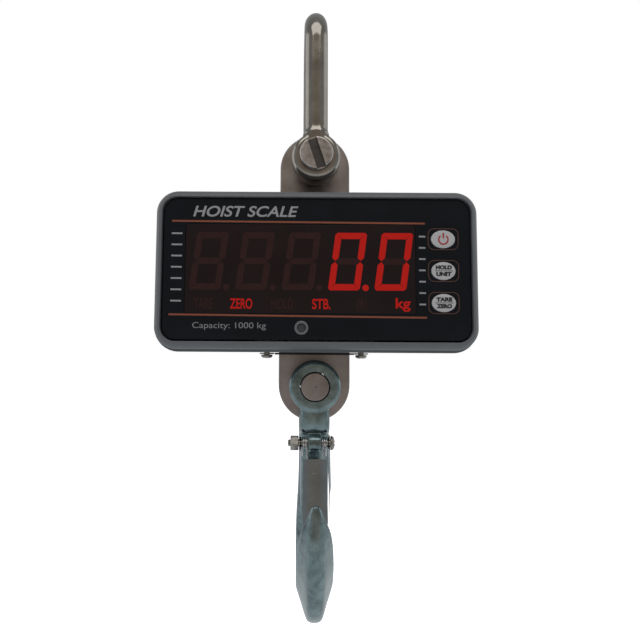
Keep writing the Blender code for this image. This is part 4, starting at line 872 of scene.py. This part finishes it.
def forged(mesh):
    """Melts joined solids into one forging: remeshed evenly, then relaxed a few rounds."""
    obj = bpy.data.objects.new("forging", mesh)
    bpy.context.scene.collection.objects.link(obj)
    remesh = obj.modifiers.new("even", "REMESH")
    remesh.mode = "VOXEL"
    remesh.voxel_size = VOXEL * MM
    relax = obj.modifiers.new("relax", "SMOOTH")
    relax.factor = 0.5
    relax.iterations = RELAX_ROUNDS
    graph = bpy.context.evaluated_depsgraph_get()
    result = bpy.data.meshes.new_from_object(obj.evaluated_get(graph))
    bpy.data.objects.remove(obj)
    return result


def along_x(name, r, y, z, steps=48):
    """A cutter right through the hook or latch, along X."""
    return rod_mesh(name, r, -THROUGH, THROUGH, (0, y, z), "X", steps)


def hook_mesh():
    """The arm with its ears, boss and web forged together, then slotted and bored."""
    half, c = HOOK_PIN_HIGH[1] - 0.2, EAR_CHAMFER
    ear = [(0, -half), (HOOK_EAR_R - c, -half), (HOOK_EAR_R, c - half), (HOOK_EAR_R, half - c),
           (HOOK_EAR_R - c, half), (0, half)]
    ears = turned_mesh("ears", ear, "Y", (0, 0, LOWER_Z), 128, 0.8)
    boss = rod_mesh("boss", BOSS_R, -BOSS_HALF, BOSS_HALF, (0, BOLT_Y, BOLT_Z), "X", 48)
    web = box_mesh("web", (-BOSS_HALF, BOLT_Y, BOLT_Z - WEB_HALF_H),
                   (BOSS_HALF, BOLT_Y + 10, BOLT_Z + WEB_HALF_H))
    body = forged(joined(tube_mesh("arm", hook_rings()), [ears, boss, web], "UNION"))
    gap = slab_mesh("gap", lambda i: round_rect(CLEVIS_GAP - 2 * i, 45, CLEVIS_ROUND, 0.0, FLOOR_Z + 22.5, 8),
                    -THROUGH, THROUGH, SHARP, "X")
    bore = rod_mesh("bore", HOOK_PIN_R + PIN_GAP, -THROUGH, THROUGH, (0, 0, LOWER_Z), "Y", 128)
    holes = [gap, bore, along_x("bolt", BOLT_HOLE_R, BOLT_Y, BOLT_Z),
             along_x("roll", ROLL_HOLE_R, ROLL_Y, LOWER_Z)]
    return joined(body, holes, "DIFFERENCE")


show(hook_mesh(), "hook_forging", "hook", "forging", ["hook_body"], 50)

# The load pin has chamfered flush ends, a punch mark and a cross hole for its spring pin.
low, high, r, c = HOOK_PIN_LOW[1], HOOK_PIN_HIGH[1], HOOK_PIN_R, 0.6
load_pin = [(0, low), (r - c, low), (r, low + c), (r, high - c), (r - c, high), (0, high)]
load_pin = turned_mesh("pin", load_pin, "Y", (0, 0, LOWER_Z), 128, 0.2)
punch = turned_mesh("punch", [(0, low - 0.5), (1.4, low - 0.5), (0.2, low + 0.5), (0, low + 0.5)], "Y",
                    (0.6, 0, LOWER_Z + 0.4), 24, 0.05)
load_pin = joined(load_pin, [punch, along_x("cross", ROLL_HOLE_R, ROLL_Y, LOWER_Z)], "DIFFERENCE")
show(load_pin, "hook_load_pin", "hook", "plate", ["hook_pin"], 40)
end, r = ROLL_HIGH[0], 1.5
roll = [(0, 0.5 - end), (0.8, -end), (1.2, -end), (r, 0.4 - end), (r, end - 0.4), (1.2, end), (0.8, end),
        (0, end - 0.5)]
show(turned_mesh("roll", roll, "X", (0, ROLL_Y, LOWER_Z), 48, 0.1), "hook_spring_pin", "hook", "fastener",
     ["hook_roll_pin"])

# The latch bolt: threaded towards the nut, with a domed slotted head.
BOLT_R, HEAD_R, HEAD_SLOT, NUT_EDGE = 1.95, 3.8, 0.5, 0.5
top, end, seat = BOLT_HIGH[0], BOLT_LOW[0], -NUT_HIGH[0]
thread = [(BOLT_R - (0.0 if i % 2 else 0.3), end + 0.4 + 0.35 * i) for i in range(16)]
bolt = [(0, end), (1.4, end), *thread, (BOLT_R, end + 6.2), (BOLT_R, seat), (HEAD_R, seat), (HEAD_R, top - 1.4),
        (3.0, top - 0.5), (1.6, top), (0, top)]
bolt = turned_mesh("bolt", bolt, "X", (0, BOLT_Y, BOLT_Z), 64, 0.2)
slot = box_mesh("slot", (top - 1, BOLT_Y - 5, BOLT_Z - HEAD_SLOT), (top + 1, BOLT_Y + 5, BOLT_Z + HEAD_SLOT))
show(joined(bolt, [slot], "DIFFERENCE"), "latch_slotted_bolt", "hook", "fastener",
     ["latch_bolt"], 35)


def hexagon(inset):
    """The nut's outline with lightly rounded corners."""
    a = np.linspace(0, TAU, 7)[:6, None] + np.linspace(-0.06, 0.06, 3)
    r = (NUT_HIGH[2] - NUT_LOW[2]) / math.sqrt(3) - inset
    return np.stack([BOLT_Y + r * np.cos(a), BOLT_Z + r * np.sin(a)], -1).reshape(-1, 2)


nut = slab_mesh("nut", hexagon, NUT_LOW[0], NUT_HIGH[0], NUT_EDGE, "X")
nut = joined(nut, [along_x("hole", 2.0, BOLT_Y, BOLT_Z)], "DIFFERENCE")
show(nut, "latch_hex_nut", "hook", "fastener", ["latch_nut"], 25)


# ---------------------------------------------------------------- latch and spring
LEAN = math.radians(18.9)
LATCH_HALF, LATCH_T = 8.4, 1.2
WEB_OUT, WEB_TOP, LATCH_LEN, CHEEK_R = 4.5, 9.0, 40.3, 4.4
LATCH_FOOT, FOOT_R = 1.5 - LATCH_LEN, 3.2
LUG_AT, LUG_HALF = 7.8, 0.58
FOLD_R, FOLD_BOW = 2.2, 2.1
CREASE_R, CREASE_UP, CREASE_DOWN = 0.5, 0.38, 7.2
SKEW = 0.02                     # keeps faces that meet off one plane


def latch_place(s, n):
    """A point in the latch's own frame: s down its length, n out towards its face."""
    return (BOLT_Y - s * math.sin(LEAN) - n * math.cos(LEAN), BOLT_Z - s * math.cos(LEAN) + n * math.sin(LEAN))


def latch_mesh():
    """A channel folded from sheet, made upright about the bolt: two cheeks and a web, kept
    within an envelope whose front corners are the bends, then leant forward."""
    a = np.radians(np.linspace(-65, -235, 40))
    round_end = np.stack([CHEEK_R * np.sin(a), -CHEEK_R * np.cos(a)], 1) * (-1, 1)
    edge = [(-WEB_OUT, LATCH_FOOT), (LATCH_T + 0.6 - WEB_OUT, LATCH_FOOT), (-2.1, -26.0), (2.6, -12.0)]
    outline = np.vstack([edge, round_end, [(-3.5, -8.0), (-4.5, -9.0)]])
    face, back = SKEW - WEB_OUT, LATCH_T - WEB_OUT
    sides = []
    for s in (-1, 1):
        ends = sorted((s * LATCH_HALF, s * (LATCH_HALF - LATCH_T)))
        sides.append(slab_mesh("cheek", lambda i: outline, *ends, SHARP, "X"))
    for s in (-1, 1):
        sides.append(box_mesh("lug", (s * LUG_AT - LUG_HALF, face, -WEB_TOP - 1),
                              (s * LUG_AT + LUG_HALF, back, 0.9 - WEB_TOP)))
    c = LATCH_HALF - SKEW
    corner = np.radians(np.linspace(180, 270, 14))
    left = FOOT_R * np.stack([np.cos(corner), np.sin(corner)], 1) + (FOOT_R - c, FOOT_R - LATCH_LEN)
    web_loop = np.vstack([[(c, -WEB_TOP), (-c, -WEB_TOP)], left, (left * (-1, 1))[::-1]])
    channel = joined(slab_mesh("web", lambda i: web_loop, face, back, SHARP), sides, "UNION")
    bend = round_rect(2 * LATCH_HALF, 30, FOLD_R, 0, 15 - WEB_OUT, 24)
    across = np.linspace(FOLD_R - LATCH_HALF, LATCH_HALF - FOLD_R, 40)[1:-1]
    front = np.stack([across, np.full(38, -WEB_OUT)], 1)
    bend = np.vstack([bend[:72], front, bend[72:]])
    bend[:, 1] += np.where(bend[:, 1] < 0, FOLD_BOW * (bend[:, 0] / LATCH_HALF) ** 2, 0)
    channel = joined(channel, [slab_mesh("envelope", lambda i: bend, -60, 20, SHARP, "Z")], "INTERSECT")
    hole = rod_mesh("hole", BOLT_HOLE_R, -THROUGH, THROUGH, (0, 0, 0), "X", 64)
    crease = rod_mesh("crease", CREASE_R, -THROUGH, THROUGH, (0, -WEB_OUT - CREASE_UP, -WEB_TOP - CREASE_DOWN),
                      "X", 16)
    return tilted(joined(channel, [hole, crease], "DIFFERENCE"), "X", -math.degrees(LEAN), (0, BOLT_Y, BOLT_Z))


latch = show(latch_mesh(), "latch_channel", "latch", "sheet", ["safety_latch"], 32)
edges = latch.modifiers.new("rolled edges", "BEVEL")
edges.width = 0.22 * MM
edges.segments = 3
edges.limit_method = "ANGLE"
edges.angle_limit = math.radians(50)

WIRE_R, COIL_R, COIL_IN, COIL_PITCH = 0.4, 3.0, 4.2, 0.93


def spring_path(turns=2.5, steps=28):
    """One half of the spring: a leg on the hook, a coil round the boss, then the start of the
    bridge behind the web: place = start + pitch times the turns, on a circle of COIL_R."""
    t = np.linspace(turns, 0, int(turns * steps) + 1)
    angle = math.pi / 2 + TAU * t
    y, z = latch_place(COIL_R * np.cos(angle), COIL_R * np.sin(angle))
    coil = np.stack([COIL_IN + COIL_PITCH * t, y, z], 1)
    foot = (COIL_IN + COIL_PITCH * turns, *latch_place(6.0, -8.0))
    reach = latch_place(WEB_TOP + 5.0, WEB_OUT - LATCH_T - 0.3 - WIRE_R)
    return np.vstack([foot, coil, (COIL_IN, *reach), (0.0, *reach)])


for side, name in ((1, "right"), (-1, "left")):
    path = spring_path() * (side, 1, 1)
    spring = show(pipe_mesh("spring", path, WIRE_R, 12), f"latch_spring_{name}", "hook", "wire",
                  ["latch_spring"] if side > 0 else ())
    spring.parent = None
    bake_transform(spring)


# ---------------------------------------------------------------- camera, light and floor
CAMERA_AT = (-0.010, -0.272, CASE_Z * MM - 0.0424)
CAMERA_TILT, CAMERA_ROLL = math.radians(93.9), math.radians(0.35)
LAMPS_AIM = (0.0, 0.0, -0.16)
FLOOR_CORNERS = [(-4, -4, -0.6), (4, -4, -0.6), (4, 6, -0.6), (-4, 6, -0.6)]


def area_light(name, place, size, power):
    """A rectangular softbox aimed at the middle of the scale."""
    lamp = bpy.data.lights.new(name, "AREA")
    lamp.shape = "RECTANGLE"
    lamp.size, lamp.size_y = size
    lamp.energy = power
    obj = bpy.data.objects.new(name, lamp)
    bpy.context.scene.collection.objects.link(obj)
    obj.location = place
    obj.rotation_euler = (Vector(LAMPS_AIM) - Vector(place)).to_track_quat("-Z", "Y").to_euler()


camera = bpy.data.cameras.new("camera")
camera.sensor_width = 36.0
camera.lens = 26.27
camera.shift_x = 0.0361
eye = bpy.data.objects.new("camera", camera)
bpy.context.scene.collection.objects.link(eye)
aim = Matrix.Rotation(CAMERA_TILT, 4, "X") @ Matrix.Rotation(CAMERA_ROLL, 4, "Z")
eye.matrix_world = Matrix.Translation(CAMERA_AT) @ aim
bpy.context.scene.camera = eye
bpy.context.scene.view_settings.view_transform = "Standard"

# The room is an even grey, a little warmer behind the camera and stronger from below.  The
# camera itself sees plain white.
world = bpy.data.worlds.new("studio")
bpy.context.scene.world = world
world.use_nodes = True
back = world.node_tree.nodes["Background"]
where = node(world, "ShaderNodeTexCoord").outputs["Generated"]
ways = node(world, "ShaderNodeSeparateXYZ", [("Vector", where)]).outputs
aside = node(world, "ShaderNodeMath", [(0, ways["X"])], operation="ABSOLUTE").outputs["Value"]
behind = node(world, "ShaderNodeMath", [(1, ways["Y"])], operation="ADD", Value=0.9).outputs["Value"]
under = node(world, "ShaderNodeMath", [(1, ways["Z"])], operation="MULTIPLY", Value=-2.0).outputs["Value"]
level = node(world, "ShaderNodeMath", [(0, aside), (1, under)], operation="MAXIMUM").outputs["Value"]
away = node(world, "ShaderNodeMath", [(0, level), (1, behind)], operation="MAXIMUM").outputs["Value"]
shade = node(world, "ShaderNodeMapRange", [("Value", away)], From_Min=0.3, From_Max=0.72).outputs["Result"]
room = node(world, "ShaderNodeValToRGB", [("Fac", shade)], [(0.0, "#a3998f"), (1.0, "#a5a7a9")])
world.node_tree.links.new(room.outputs["Color"], back.inputs["Color"])
bounce = node(world, "ShaderNodeMapRange", [("Value", ways["Z"])], From_Min=-0.45, From_Max=0.0,
              To_Min=1.85, To_Max=1.0).outputs["Result"]
world.node_tree.links.new(bounce, back.inputs["Strength"])
plain = node(world, "ShaderNodeBackground", Color=(1, 1, 1, 1), Strength=1.0).outputs["Background"]
seen = node(world, "ShaderNodeLightPath").outputs["Is Camera Ray"]
both = node(world, "ShaderNodeMixShader", [(0, seen), (1, back.outputs["Background"]), (2, plain)])
world.node_tree.links.new(both.outputs["Shader"], world.node_tree.nodes["World Output"].inputs["Surface"])

area_light("left_softbox", (-0.85, 0.2, 0.15), (0.7, 1.0), 1.6)
area_light("right_softbox", (0.85, 0.2, 0.15), (0.7, 1.0), 1.4)
area_light("top_softbox", (0.0, -0.45, 0.7), (1.0, 0.5), 2.6)

floor = bpy.data.meshes.new("floor")
floor.from_pydata(FLOOR_CORNERS, [], [(0, 1, 2, 3)])
floor_obj = bpy.data.objects.new("floor", floor)
bpy.context.scene.collection.objects.link(floor_obj)
floor_obj.visible_glossy = False
floor_obj.visible_diffuse = False
floor.materials.append(finish_of("pale_studio_floor", "#f4f4f4", "#f8f8f8", 0.8, 0.9, 80, 4.0, 0.02,
                                 Emission_Color=(1, 1, 1, 1), Emission_Strength=0.9))
